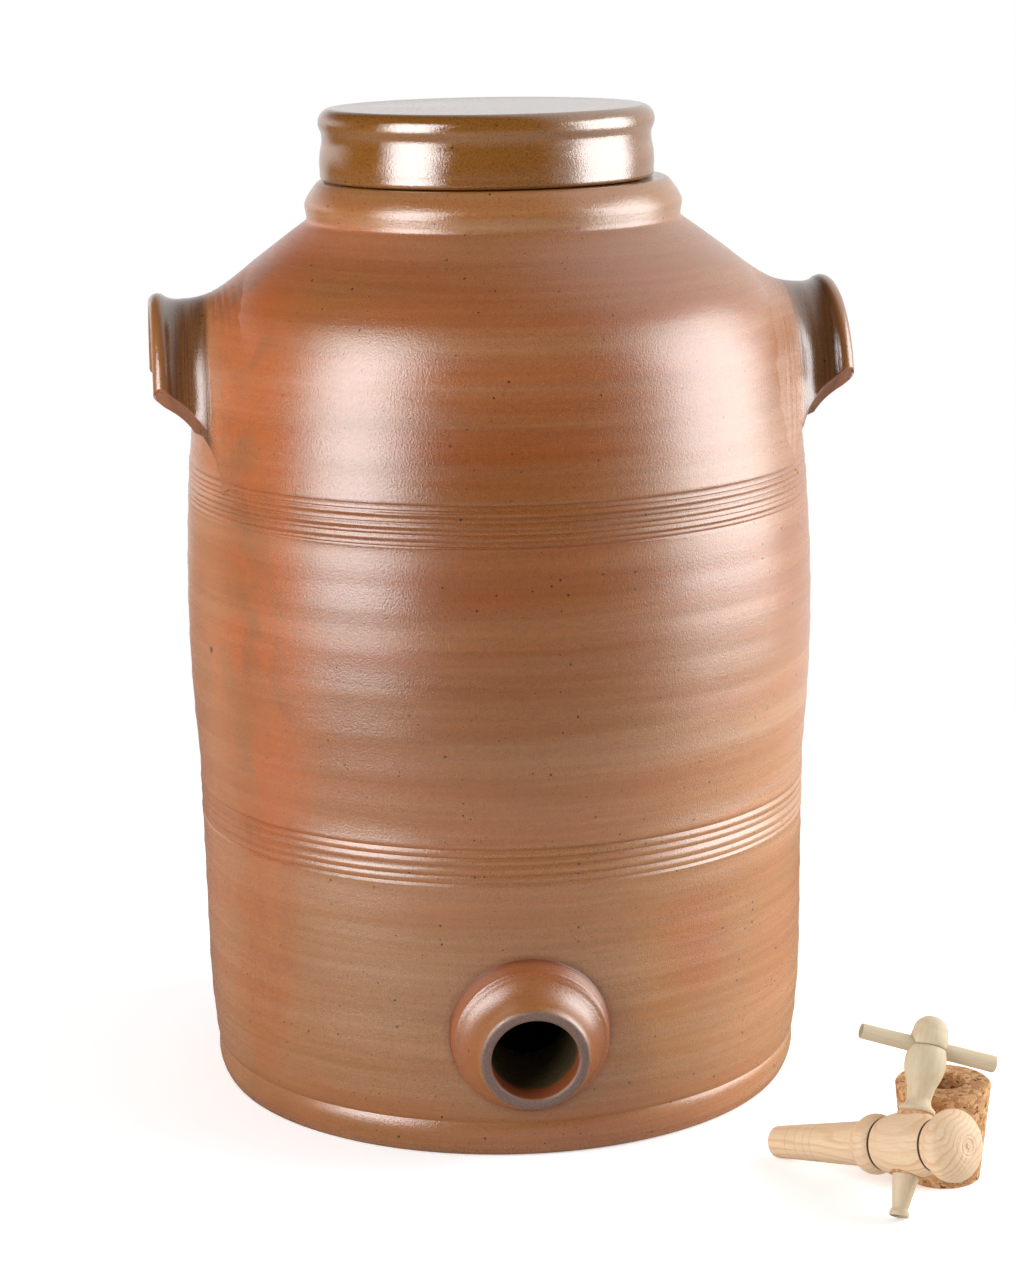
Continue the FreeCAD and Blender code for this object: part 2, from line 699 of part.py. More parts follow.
def make_key(pose):
    """The key and the crossbar that is driven through its head."""
    frame = pose["frame"].multiply(FreeCAD.Placement(
        vector(0, 0, 0), FreeCAD.Rotation(vector(0, 0, 1), SIZES["bar_turn"])))
    foot = "(seat_height + seat_gap)"
    notch = "(stem_top_height + notch_width)"
    key = turned_body("key_blank", [
        ("0", "-nozzle_length", None),
        ("nozzle_lip_radius - nozzle_lip_edge", "-nozzle_length", None),
        ("nozzle_lip_radius", "nozzle_lip_edge - nozzle_length", None),
        ("nozzle_lip_radius", "nozzle_lip_height - nozzle_length", bulge("nozzle_cove", -1)),
        ("nozzle_neck_radius", "-nozzle_neck_length", None),
        ("plug_bottom_radius", "-plug_bottom", None),
        ("plug_top_radius", foot, None),
        ("key_foot_radius", foot, bulge("key_foot_bulge")),
        ("key_foot_radius", f"{foot} + key_foot_height", bulge("waist_cove", -1)),
        ("waist_radius", "waist_height", bulge("stem_cove", -1)),
        ("stem_radius", "stem_height", bulge("stem_bulge")),
        ("stem_top_radius", "stem_top_height", None),
        ("notch_radius", notch, None),
        ("stem_top_radius", f"{notch} + notch_width", bulge("head_bulge")),
        ("head_radius", "head_height", bulge("head_cap_bulge")),
        ("head_cap_radius", "head_cap_height", None),
        ("head_cap_radius - bar_edge", "key_top", None),
        ("0", "key_top", None),
    ], frame)
    turn(key, "Groove", sketch_on(key, "XZ_Plane", [
        ("0", "-nozzle_length - key_bore_flare", None),
        ("key_bore_radius + 2 * key_bore_flare", "-nozzle_length - key_bore_flare", None),
        ("key_bore_radius", "key_bore_flare - nozzle_length", None),
        ("key_bore_radius", "0", None),
        ("0", "key_bore_radius", None),
    ]), "V_Axis")
    turn(key, "Groove", sketch_on(key, "XY_Plane", [
        ("0", "0", None),
        ("0", "key_port_radius", None),
        ("-key_foot_radius - key_bore_flare", "key_port_radius", None),
        ("-key_foot_radius - key_bore_flare", "0", None),
    ]), "H_Axis")
    notch_height = SIZES["stem_top_height"] + SIZES["notch_width"]
    bar = turned_body("crossbar", [
        ("bar_half_length", "0", None),
        ("bar_half_length", "bar_thick_radius - bar_edge", None),
        ("bar_half_length - bar_edge", "bar_thick_radius", None),
        ("bar_edge - bar_half_length", "bar_thin_radius", None),
        ("-bar_half_length", "bar_thin_radius - bar_edge", None),
        ("-bar_half_length", "0", None),
    ], frame.multiply(FreeCAD.Placement(vector(0, 0, notch_height), FreeCAD.Rotation())),
        upright=False)
    return cut("key", key, bar), bar


# ---------------------------------------------------------------- assembly and files
def make_all():
    jar, outside, bore = make_jar()
    socket = make_socket(outside, bore)
    grown = turned_body("jar_grown_form",
                        [("0", "flank_height", None)] + jar_side("smear_thickness")
                        + [("0", f"{NECK_FOOT} + smear_thickness * sin(shoulder_slope)", None)],
                        SEAM_BEHIND)
    right = make_handle("handle_right", SIZES["handle_turn"], outside, grown)
    left = make_handle("handle_left", SIZES["handle_turn"] + SIZES["handle_spacing"], outside, grown)
    pose = spigot_pose()
    key, bar = make_key(pose)
    return [jar, socket, left, right, make_lid(), make_bung(pose),
            make_barrel(pose), make_lining(pose), key, bar], pose


pieces, spigot = make_all()
document.recompute()
for item in document.Objects:
    if {"Invalid", "Error"} & set(item.State):
        raise SystemExit(f"{item.Label} failed: {item.State}")
os.makedirs("parts", exist_ok=True)
for piece in pieces:
    shape = piece.Shape
    if shape.isNull() or not shape.isValid() or len(shape.Solids) != 1:
        raise SystemExit(f"{piece.Label} is not one valid solid")
    shape.exportStep(f"parts/{piece.Label}.step")
    box = shape.BoundBox
    print(f"{piece.Label:14} {shape.Volume / 1000:9.2f} ml  "
          f"x {box.XMin:7.1f} {box.XMax:7.1f}  y {box.YMin:7.1f} {box.YMax:7.1f}  "
          f"z {box.ZMin:7.2f} {box.ZMax:7.2f}")
print("spigot centre", spigot["centre"], "barrel", spigot["barrel"], "key", spigot["key"])
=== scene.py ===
import math

import bmesh
import bpy
import numpy as np
from mathutils import Matrix


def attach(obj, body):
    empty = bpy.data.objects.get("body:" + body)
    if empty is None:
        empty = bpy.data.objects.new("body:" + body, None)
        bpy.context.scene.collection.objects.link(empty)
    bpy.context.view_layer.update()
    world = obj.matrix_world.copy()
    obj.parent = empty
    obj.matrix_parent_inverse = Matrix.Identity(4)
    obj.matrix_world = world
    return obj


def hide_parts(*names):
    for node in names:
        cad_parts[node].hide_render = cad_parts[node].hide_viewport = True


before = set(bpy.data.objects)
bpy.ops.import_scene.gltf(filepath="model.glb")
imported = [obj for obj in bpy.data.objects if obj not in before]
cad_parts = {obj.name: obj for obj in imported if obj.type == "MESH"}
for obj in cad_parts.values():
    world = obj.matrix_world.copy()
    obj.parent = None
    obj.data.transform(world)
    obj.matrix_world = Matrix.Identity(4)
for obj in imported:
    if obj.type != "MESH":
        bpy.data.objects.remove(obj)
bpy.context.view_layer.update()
print("frame loaded")


def outline(corners, step=0.25):
    # corners are (across, along) or (across, along, rise): straight runs, or arcs that stand rise to the right
    # of their chord, worked out as centre + radius (cos aside + sin ahead)
    runs = []
    for (x0, y0, *rise), (x1, y1, *_) in zip(corners, corners[1:]):
        start, end = np.array([x0, y0], float), np.array([x1, y1], float)
        chord = np.linalg.norm(end - start)
        share = np.linspace(0, 1, max(2, math.ceil(chord / step)), endpoint=False)[:, None]
        if rise:
            ahead, high = (end - start) / chord, abs(rise[0])
            aside = np.array([ahead[1], -ahead[0]]) * math.copysign(1, rise[0])
            radius = (chord * chord / 4 + high * high) / (2 * high)
            centre = (start + end) / 2 - aside * (radius - high)
            turn = math.asin(min(1, chord / 2 / radius)) * (2 * share - 1)
            runs.append(centre + radius * (np.cos(turn) * aside + np.sin(turn) * ahead))
        else:
            runs.append(start + share * (end - start))
    runs.append(np.array([corners[-1][:2]], float))
    return np.concatenate(runs)


def travelOf(points):
    # distance travelled along a polyline at each of its points
    return np.concatenate([[0], np.cumsum(np.linalg.norm(np.diff(points, axis=0), axis=1))])


def sampled(points, travel, count):
    # points at equal steps of a rising measure along a polyline
    at = np.linspace(0, travel[-1], count)
    return np.stack([np.interp(at, travel, column) for column in points.T], 1)


def evenly(points, step):
    travel = travelOf(points)
    return sampled(points, travel, max(3, int(travel[-1] / step) + 1))


def softened(points, width, step=0.2):
    # a polyline whose corners are rounded by a running bell-shaped mean, its ends held in place
    even = evenly(points, step)
    reach = max(1, int(3 * width / step))
    bell = np.exp(-0.5 * (np.arange(-reach, reach + 1) * step / width) ** 2)
    head = 2 * even[0] - even[reach:0:-1]
    tail = 2 * even[-1] - even[-2:-reach - 2:-1]
    long = np.concatenate([head, even, tail])
    return np.stack([np.convolve(column, bell / bell.sum(), "valid") for column in long.T], 1)


def keenly(points, rows, keen=6.0):
    # as many rows as asked, closer together where the polyline bends: each step counts 1 + keen times its bend
    step = np.diff(points, axis=0)
    length = np.linalg.norm(step, axis=1) + 1e-9
    heading = np.unwrap(np.arctan2(step[:, 1], step[:, 0]))
    bend = np.minimum(np.abs(np.diff(heading, prepend=heading[0])) / length, 1.5)
    bend = np.convolve(bend, np.ones(9) / 9, "same")
    return sampled(points, np.concatenate([[0], np.cumsum(length * (1 + keen * bend))]), rows)


def cubic(share, ends):
    # (1 - s)^3 a + 3 s (1 - s)^2 b + 3 s^2 (1 - s) c + s^3 d for four arrays a to d
    weights = (1 - share) ** 3, 3 * share * (1 - share) ** 2, 3 * share ** 2 * (1 - share), share ** 3
    return sum(weight * end for weight, end in zip(weights, ends))


def aboutAxis(origin, axes, radius, angle, along):
    # origin + radius (cos aside + sin beside) + along the third axis
    flat = (radius * np.cos(angle))[..., None] * axes[0] + (radius * np.sin(angle))[..., None] * axes[1]
    return origin + flat + along[..., None] * axes[2]


def gridFaces(rows, cols, roundRows, roundCols):
    # four-sided faces between the points of a rows by cols grid
    i = np.arange(rows if roundRows else rows - 1)[:, None]
    j = np.arange(cols if roundCols else cols - 1)[None, :]
    nextRow, nextCol = (i + 1) % rows, (j + 1) % cols
    corners = [i * cols + j, i * cols + nextCol, nextRow * cols + nextCol, nextRow * cols + j]
    return np.stack(corners, -1).reshape(-1, 4)


def added(name, data):
    thing = bpy.data.objects.new(name, data)
    bpy.context.collection.objects.link(thing)
    return thing


def smoothed(mesh, sharp=35):
    mesh.shade_smooth()
    mesh.set_sharp_from_angle(angle=math.radians(sharp))


def pieceFrom(name, points, faces, sharp=35, marks=None):
    # a mesh object from millimetre points, its doubles merged and its faces turned outwards
    mesh = bpy.data.meshes.new(name)
    mesh.vertices.add(len(points))
    mesh.vertices.foreach_set("co", (points * 0.001).astype(np.float32).ravel())
    mesh.loops.add(faces.size)
    mesh.loops.foreach_set("vertex_index", faces.astype(np.int32).ravel())
    mesh.polygons.add(len(faces))
    mesh.polygons.foreach_set("loop_start", np.arange(0, faces.size, 4, dtype=np.int32))
    mesh.update(calc_edges=True)
    for mark, values in (marks or {}).items():
        layer = mesh.attributes.new(mark, "FLOAT", "POINT")
        layer.data.foreach_set("value", values.astype(np.float32).ravel())
    shell = bmesh.new()
    shell.from_mesh(mesh)
    bmesh.ops.remove_doubles(shell, verts=shell.verts, dist=2e-6)
    if shell.calc_volume(signed=True) < 0:
        bmesh.ops.reverse_faces(shell, faces=shell.faces)
    shell.to_mesh(mesh)
    shell.free()
    smoothed(mesh, sharp)
    return added(name, mesh)


def turned(name, section, around, origin=(0, 0, 0), axes=np.eye(3), ring=False, wobble=None, sharp=35,
           marks=None):
    # a section of (radius, height) carried round an axis, with wobble as a change of both over the angle
    angle = np.linspace(0, 2 * math.pi, around, endpoint=False)[None, :]
    radius, height = np.repeat(section[:, :1], around, 1), np.repeat(section[:, 1:], around, 1)
    if wobble:
        radius, height = wobble(radius, height, angle)
    points = aboutAxis(np.array(origin, float), axes, radius, angle, height)
    shown = {mark: np.repeat(values[:, None], around, 1) for mark, values in (marks or {}).items()}
    return pieceFrom(name, points.reshape(-1, 3), gridFaces(len(section), around, ring, True), sharp, shown)


def carve(piece, *cutters):
    # takes the cutters out of the piece and leaves one finished mesh
    for cutter in cutters:
        cut = piece.modifiers.new("cut", "BOOLEAN")
        cut.operation, cut.solver, cut.object = "DIFFERENCE", "EXACT", cutter
    bpy.context.view_layer.update()
    done = bpy.data.meshes.new_from_object(piece.evaluated_get(bpy.context.evaluated_depsgraph_get()))
    done.name = piece.name
    piece.modifiers.clear()
    old, piece.data = piece.data, done
    bpy.data.meshes.remove(old)
    for cutter in cutters:
        bpy.data.objects.remove(cutter)
    smoothed(done)
    return piece


def ripple(angle, height, seed):
    # a smooth uneven hand-made wave: the sum of sin(n angle + lean height) sin(swell height) / n, about 1 high
    rng = np.random.default_rng(seed)
    total = 0
    for n in range(1, 6):
        lean, swell, phase = rng.uniform(-0.02, 0.02), rng.uniform(0.01, 0.05), rng.uniform(0, 6.28, 2)
        total = total + np.sin(n * angle + lean * height + phase[0]) * np.sin(swell * height + phase[1]) / n
    return total / 1.5


def srgb(red, green, blue):
    level = np.array([red, green, blue]) / 255
    linear = np.where(level <= 0.04045, level / 12.92, ((level + 0.055) / 1.055) ** 2.4)
    return (*[float(v) for v in linear], 1.0)


def put(tree, kind, wires=(), **settings):
    # a node with its properties set and its inputs either set or linked
    node = tree.nodes.new("ShaderNode" + kind)
    for key, value in settings.items():
        setattr(node, key, value)
    for socket, value in dict(wires).items():
        if isinstance(value, bpy.types.NodeSocket):
            tree.links.new(value, node.inputs[socket])
        else:
            node.inputs[socket].default_value = value
    return node


def treeOf(*values):
    # the node tree of the first socket among the values
    return next(value.id_data for value in values if isinstance(value, bpy.types.NodeSocket))


def maths(operation, *values):
    return put(treeOf(*values), "Math", enumerate(values), operation=operation).outputs[0]


def times(first, *others):
    for other in others:
        first = maths("MULTIPLY", first, other)
    return first


def plus(first, *others):
    for other in others:
        first = maths("ADD", first, other)
    return first


def hypot(first, second):
    # the root of the sum of two squares
    return maths("SQRT", plus(maths("POWER", first, 2.0), maths("POWER", second, 2.0)))


def blended(share, first, second, kind="MIX"):
    wires = {0: share, 6: first, 7: second}
    return put(treeOf(share, first, second), "Mix", wires, data_type="RGBA", blend_type=kind).outputs[2]


def tinted(color, tint, *shares):
    # the colour moved towards a tint by the product of the shares
    return blended(times(*shares), color, tint)


def lightened(color, value):
    return put(treeOf(color), "HueSaturation", {"Color": color, "Value": value}).outputs[0]


def ramp(value, low, high, least=0.0, most=1.0):
    wires = {0: value, 1: low, 2: high, 3: least, 4: most}
    return put(treeOf(value), "MapRange", wires, interpolation_type="SMOOTHSTEP").outputs[0]


def parted(vector, kind="SeparateXYZ"):
    return put(treeOf(vector), kind, {0: vector}).outputs


def stretched(vector, scale, offset=(0, 0, 0)):
    return put(treeOf(vector), "Mapping", {0: vector, 1: offset, 3: scale}).outputs[0]


def inAxes(where, origin, axes):
    # a place, from millimetres, in a piece's own axes
    wires = {0: where, 1: tuple(origin * 0.001), 2: Matrix(np.array(axes).T.tolist()).to_euler()}
    return put(treeOf(where), "Mapping", wires, vector_type="TEXTURE").outputs[0]


def distanceTo(where, place):
    return put(treeOf(where), "VectorMath", {0: where, 1: place}, operation="DISTANCE").outputs["Value"]


def noise(vector, scale, detail=2.0, rough=0.5, bend=0.0):
    # a noise of one scale, or of a scale for each direction
    if not isinstance(scale, float):
        vector, scale = stretched(vector, scale), 1.0
    wires = {"Vector": vector, "Scale": scale, "Detail": detail, "Roughness": rough, "Distortion": bend}
    return put(treeOf(vector), "TexNoise", wires).outputs[0]


def cells(vector, scale):
    # the nearest cell's distance, and two random numbers of its own
    found = put(treeOf(vector), "TexVoronoi", {"Vector": vector, "Scale": scale}).outputs
    first, second, _ = parted(found["Color"], "SeparateColor")
    return found["Distance"], first, second


def marked(where, name):
    # the piece's own mark at a place
    return put(treeOf(where), "Attribute", attribute_name=name).outputs["Fac"]


def effectGroup(name, colors=(), values=()):
    # a group that takes a place, the named colours and the named values
    tree = bpy.data.node_groups.new(name, "ShaderNodeTree")
    for kind, keys in (("Vector", ["Vector"]), ("Color", colors), ("Float", values)):
        for key in keys:
            tree.interface.new_socket(key, in_out="INPUT", socket_type="NodeSocket" + kind)
    given = tree.nodes.new("NodeGroupInput").outputs
    return given, given["Vector"]


def groupOf(**results):
    # ends a group with its results: Color is a colour, the others are values
    tree = treeOf(*results.values())
    for key in results:
        kind = "NodeSocketColor" if key == "Color" else "NodeSocketFloat"
        tree.interface.new_socket(key, in_out="OUTPUT", socket_type=kind)
    end = tree.nodes.new("NodeGroupOutput").inputs
    for key, socket in results.items():
        tree.links.new(socket, end[key])
    return tree


def useGroup(where, group, **wires):
    return put(treeOf(where), "Group", {"Vector": where, **wires}, node_tree=group).outputs


def glazed(where, colors, streaks, specks):
    # salt glaze in a piece's own colours
    return useGroup(where, glazeGroup, Clay=colors["clay"], Flash=colors["flash"], Ash=colors["ash"],
                    Streaks=streaks, Specks=specks)


def newMaterial(name, **values):
    material = bpy.data.materials.new(name)
    material.use_nodes = True
    shader = material.node_tree.nodes["Principled BSDF"]
    for key, value in values.items():
        shader.inputs[key.replace("_", " ")].default_value = value
    where = put(material.node_tree, "TexCoord").outputs["Object"]
    return material, shader, where


def finish(shader, color, rough, height, strength=0.45, distance=0.00022):
    tree = treeOf(color)
    bump = put(tree, "Bump", {"Strength": strength, "Distance": distance, "Height": height}).outputs[0]
    for key, socket in (("Base Color", color), ("Roughness", rough), ("Normal", bump)):
        if socket is not None:
            tree.links.new(socket, shader.inputs[key])


glaze = {  # scales per metre, three where the pattern is drawn out
    "broad": (5, 5, 16), "bands": (3, 3, 75), "lines": (9, 9, 420), "grain": 1300.0, "peel": 1250.0,
    "fine": 2900.0, "specks": 300.0, "speckColor": (0.032, 0.013, 0.005, 1), "dust": 620.0,
    "dustColor": (0.075, 0.026, 0.009, 1),
}


def makeGlazeGroup():
    # salt glaze: streaks drawn out by the wheel, iron specks, fine grain and an orange-peel skin
    given, where = effectGroup("saltGlaze", ("Clay", "Flash", "Ash"), ("Streaks", "Specks"))
    broad = noise(where, glaze["broad"], 3.0, 0.55, 0.4)
    bands = noise(where, glaze["bands"], 4.0, 0.6, 0.3)
    lines = noise(where, glaze["lines"], 3.0, 0.6)
    color = blended(ramp(broad, 0.36, 0.66, 0.0, 0.75), given["Clay"], given["Flash"])
    color = tinted(color, given["Ash"], ramp(bands, 0.36, 0.8), given["Streaks"])
    drawn = times(ramp(lines, 0.35, 0.7, -0.5, 0.5), given["Streaks"], 0.16)
    grain = ramp(noise(where, glaze["grain"], 3.0, 0.75), 0.3, 0.7, 0.86, 1.14)
    color = lightened(color, plus(drawn, grain))
    away, chosen, big = cells(where, glaze["specks"])
    size = maths("MULTIPLY_ADD", maths("POWER", big, 3.0), 0.12, 0.055)
    color = tinted(color, glaze["speckColor"], maths("LESS_THAN", away, size),
                   maths("GREATER_THAN", chosen, 0.45), given["Specks"])
    away, chosen, _ = cells(where, glaze["dust"])
    color = tinted(color, glaze["dustColor"], maths("LESS_THAN", away, 0.2),
                   maths("GREATER_THAN", chosen, 0.8), 0.7, given["Specks"])
    fine = noise(where, glaze["fine"], 1.0)
    height = plus(noise(where, glaze["peel"]), times(fine, 0.6), times(lines, 0.35))
    rough = plus(ramp(bands, 0.3, 0.7, -0.04, 0.05), ramp(fine, 0.2, 0.8, -0.04, 0.04))
    return groupOf(Color=color, Rough=rough, Height=height)


timber = {  # scales per metre along and across the grain, and the far-off pith in metres
    "slow": (14, 60, 60), "fibre": (90, 1500, 1500), "patch": (25, 120, 120), "fleck": (350, 1300, 1300),
    "pith": (0.021, 0.034),
}


def makeWoodGroup():
    # turned wood with its grain along X: year rings round a far-off pith, fibres and small flecks
    given, where = effectGroup("turnedWood", ("Pale", "Late"), ("Rings", "Contrast"))
    place = parted(where)
    out = hypot(plus(place[1], timber["pith"][0]), plus(place[2], timber["pith"][1]))
    slow = times(noise(where, timber["slow"]), 5.0)
    saw = maths("FRACT", plus(times(out, given["Rings"]), slow))
    fibre = noise(where, timber["fibre"], 3.0, 0.6)
    patch = noise(where, timber["patch"])
    color = tinted(given["Pale"], given["Late"], ramp(saw, 0.45, 0.9), ramp(saw, 1.0, 0.9),
                   given["Contrast"], ramp(patch, 0.25, 0.65, 0.25, 1.0))
    color = lightened(color, times(ramp(fibre, 0.3, 0.7, 0.95, 1.04), ramp(patch, 0.2, 0.8, 0.96, 1.04)))
    away, chosen, _ = cells(stretched(where, timber["fleck"]), 1.0)
    color = tinted(color, given["Late"], maths("GREATER_THAN", chosen, 0.9),
                   maths("LESS_THAN", away, 0.25), 0.18)
    return groupOf(Color=color, Rough=ramp(fibre, 0.2, 0.8, 0.44, 0.58), Height=fibre)


crumb = {  # scales per metre and colours
    "shake": 300.0, "crumbs": (480, 480, 560), "fine": 1400.0, "pits": (260, 260, 420),
    "seamColor": srgb(120, 66, 34), "pitColor": srgb(84, 46, 24),
}


def makeCorkGroup():
    # pressed cork: crumbs of several browns, dark seams between some of them and open pits
    given, where = effectGroup("corkCrumb", ("Pale", "Deep"))
    tree = treeOf(where)
    shake = put(tree, "TexNoise", {"Vector": where, "Scale": crumb["shake"], "Detail": 3.0}).outputs["Color"]
    moved = put(tree, "MixRGB", {0: 0.0012, 1: where, 2: shake}, blend_type="ADD").outputs[0]
    moved = stretched(moved, crumb["crumbs"])
    _, brown, seamed = cells(moved, 1.0)
    borders = put(tree, "TexVoronoi", {"Vector": moved, "Scale": 1.0}, feature="DISTANCE_TO_EDGE")
    color = blended(ramp(brown, 0.2, 1.0, 0.0, 0.75), given["Pale"], given["Deep"])
    fine = noise(where, crumb["fine"], 3.0, 0.7)
    color = lightened(color, ramp(fine, 0.25, 0.75, 0.8, 1.2))
    seam = times(ramp(borders.outputs["Distance"], 0.1, 0.0), ramp(seamed, 0.35, 0.8))
    color = tinted(color, crumb["seamColor"], seam, 0.5)
    pit = ramp(noise(where, crumb["pits"], 2.0, 0.6), 0.61, 0.66)
    color = tinted(color, crumb["pitColor"], pit, 0.8)
    height = maths("SUBTRACT", maths("SUBTRACT", 1.0, seam), pit)
    return groupOf(Color=color, Height=plus(height, times(fine, 0.3)))


pot = {  # the jar's colours, scales per metre and places in metres
    "clay": srgb(131, 75, 28), "flash": srgb(140, 70, 26), "ash": srgb(144, 90, 43),
    "middling": srgb(136, 77, 31), "low": srgb(160, 108, 68), "right": srgb(177, 115, 70),
    "lowRightPaintedLight": srgb(206, 149, 101), "slope": srgb(160, 106, 66), "left": srgb(162, 102, 62),
    "smear": srgb(172, 90, 42), "patch": srgb(140, 86, 50), "edge": srgb(190, 128, 86),
    "blush": srgb(190, 106, 66), "spot": srgb(186, 96, 52), "scar": srgb(70, 34, 22), "neck": srgb(158, 110, 66),
    "spotPlace": (0.068, -0.106, 0.08), "scarPlace": (-0.1165, -0.0475, 0.1905), "smears": (17, 17, 8),
    "patches": (38, 38, 20), "patchesOffset": (0.3, 0.1, 0),
}


def makePotGroup():
    # the jar's colouring, shared by the pieces smeared on to it: orange flashes down the left, painted light that
    # makes it paler to the right,
    #  low down and along the left edge, a glossier ring at the neck, all times the glaze's tone over its middling
    #  colour
    _, where = effectGroup("potSkin")
    x, _, z = parted(where)
    skin = glazed(where, pot, 0.8, 0.9)
    tone = blended(1.0, skin["Color"], pot["middling"], "DIVIDE")
    # painted light: paler low down, where the floor lights the wall
    color = tinted(pot["middling"], pot["low"], ramp(z, 0.2, 0.11), 0.8)
    # painted light: paler to the right, and paler still low on the right, where the right lamp and the floor
    # light the wall
    right = blended(ramp(z, 0.23, 0.14), pot["right"], pot["lowRightPaintedLight"])
    color = tinted(color, right, ramp(x, -0.01, 0.12), 0.7)
    color = tinted(color, pot["slope"], ramp(z, 0.285, 0.31), ramp(x, 0.06, 0.0), 0.6)
    smears = noise(where, pot["smears"], 5.0, 0.62, 1.2)
    band = times(ramp(x, -0.066, -0.1), ramp(z, 0.1, 0.17, 0.5, 1.0))
    color = tinted(color, pot["left"], band, 0.5)
    color = tinted(color, pot["smear"], band, ramp(smears, 0.45, 0.6, 0.05, 0.8))
    patches = noise(stretched(where, pot["patches"], pot["patchesOffset"]), 1.0, 3.0, 0.6, 0.6)
    color = tinted(color, pot["patch"], band, ramp(patches, 0.5, 0.62, 0.0, 0.6))
    # painted light: a paler rim along the left edge
    color = tinted(color, pot["edge"], ramp(x, -0.104, -0.122), 0.6)
    color = tinted(color, pot["blush"], ramp(x, -0.01, -0.07), ramp(z, 0.335, 0.352),
                   ramp(z, 0.368, 0.362), 0.5)
    spot = distanceTo(where, pot["spotPlace"])
    color = tinted(color, pot["spot"], ramp(spot, 0.03, 0.004), 0.4)
    scar = maths("SUBTRACT", distanceTo(where, pot["scarPlace"]), 0.0022)
    color = tinted(color, pot["scar"], ramp(maths("ABSOLUTE", scar), 0.0005, 0.0002), 0.7)
    color = tinted(color, pot["neck"], ramp(z, 0.354, 0.359), 0.8)
    color = blended(maths("MULTIPLY_ADD", band, -0.5, 1.0), color, tone, "MULTIPLY")
    rough = plus(skin["Rough"], ramp(z, 0.352, 0.36, 0.25, 0.14))
    return groupOf(Color=color, Rough=rough, Height=skin["Height"])


glazeGroup, woodGroup, corkGroup = makeGlazeGroup(), makeWoodGroup(), makeCorkGroup()
potGroup = makePotGroup()
print("effect groups made")

# the pieces from here on are in millimetres
jar = {
    "rows": 402, "around": 240, "edge": 0.7, "wall": 8.5, "thrownTo": 352, "grooveShadeColor": srgb(116, 62, 34),
    "lowBand": (112.6, 3.4, 5, 0.6), "highBand": (243.6, 2.2, 8, 0.45),  # height, pitch, lines, depth
    "widest": 128.2, "widestAt": 198, "bellyCurve": 690.0, "belly": (138, 301), "slope": 53,
    "sideFoot": (124.5, 50), "shoulderRise": 3.9, "shoulder": (100.2, 336, 0.27), "throat": (75.2, 354.6),
    "foot": [(0, 0), (118.6, 0, 1.6), (121.2, 13.9), (120.6, 14.7), (121.9, 15.5, 0.45)],
    "neck": [(75.2, 356), (76.1, 361.2, 0.5), (70.6, 369.7), (70.1, 370.2), (58.3, 370.2), (58.3, 384.6, 3.0),
             (51.2, 384.6), (51.2, 358.6)],
    "floor": [(116, 21, -2.4), (107, 12), (0, 12)], "socketRingShade": srgb(112, 60, 38),
}


def jarSide(grow):
    # the wall from foot to throat, moved outwards by grow: a straight run, a circle about the widest point,
    # the shoulder's arc and a straight slope
    slope = math.radians(jar["slope"])
    across, up = grow * math.cos(slope), grow * math.sin(slope)
    rise = np.linspace(*jar["belly"], 90)
    curve = jar["bellyCurve"]
    radius = jar["widest"] - curve + np.sqrt(curve ** 2 - (rise - jar["widestAt"]) ** 2) + grow
    low, (shoulder, level, bow), throat = jar["sideFoot"], jar["shoulder"], jar["throat"]
    return [(low[0] + grow, low[1]), *zip(radius[:-1], rise), (radius[-1], rise[-1], jar["shoulderRise"]),
            (shoulder + across, level + up, bow), (throat[0] + across, throat[1] + up)]


def jarSection():
    inside = [corner[:2] for corner in reversed(jarSide(-jar["wall"]))]
    return softened(outline(jar["foot"] + jarSide(0) + jar["neck"] + inside + jar["floor"]), jar["edge"])


def scored(section):
    # each scored line is a hollow, its depth times e to the minus gap squared, with a small raised edge
    radius, height = section[:, 0].copy(), section[:, 1]
    outer = (radius > 119) & (np.arange(len(radius)) < np.argmax(height))
    # this mark follows the scored lines so that the jar's colour can paint shade in them
    hollow = np.zeros(len(radius))
    for low, pitch, lines, depth in (jar["lowBand"], jar["highBand"]):
        for n in range(lines):
            gap = (height - low - n * pitch) / (0.17 * pitch)
            hollow += np.exp(-gap ** 2) * (0.75 + 0.25 * math.sin(2.1 * n + low))
            radius -= outer * depth * np.exp(-gap ** 2)
            radius += outer * depth * 0.3 * np.exp(-(np.abs(gap) - 2.2) ** 2)
    return np.stack([radius, height], 1), hollow * outer, section[:, 0] - radius


def thrown(radius, height, angle):
    # radius + throwing rings in a slow spiral + an uneven wall + what the scored lines lose near the handles
    top = jar["thrownTo"]
    wall = (radius > 60) & (height > 4) & (height < top)
    climb = height - 6 * angle / (2 * math.pi)
    rings = 0.10 * np.sin(climb * 0.42 + np.sin(climb * 0.05)) + 0.07 * np.sin(climb * 1.13)
    uneven = 0.35 * ripple(angle, height, 3)
    ease = np.clip((height - 4) / 12, 0, 1) * np.clip((top - height) / 10, 0, 1)
    shallow = np.clip(0.5 * np.cos(angle) ** 2 + 0.15 * np.sin(3 * angle + height), 0, 0.6)
    return radius + shallow * grooveAt[:, None] + wall * ease * (rings + uneven), height


def outerRadius(z):
    return np.interp(z, jarOuter[:, 1], jarOuter[:, 0])


plainSection = jarSection()
jarOuter = plainSection[: np.argmax(plainSection[:, 1])]
jarOuter = jarOuter[jarOuter[:, 1] > 15.2]
jarOuter = jarOuter[: np.argmax(jarOuter[:, 1] > 355)]

section, hollow, groove = scored(plainSection)
rowsAt = keenly(section, jar["rows"], 5.0)
travel, rowTravel = travelOf(section), travelOf(rowsAt)
hollowAt, grooveAt = (np.interp(rowTravel / rowTravel[-1] * travel[-1], travel, v) for v in (hollow, groove))
jarSkin = turned("jarSkin", rowsAt, jar["around"], wobble=thrown, marks={"hollow": hollowAt})
print("jar thrown")

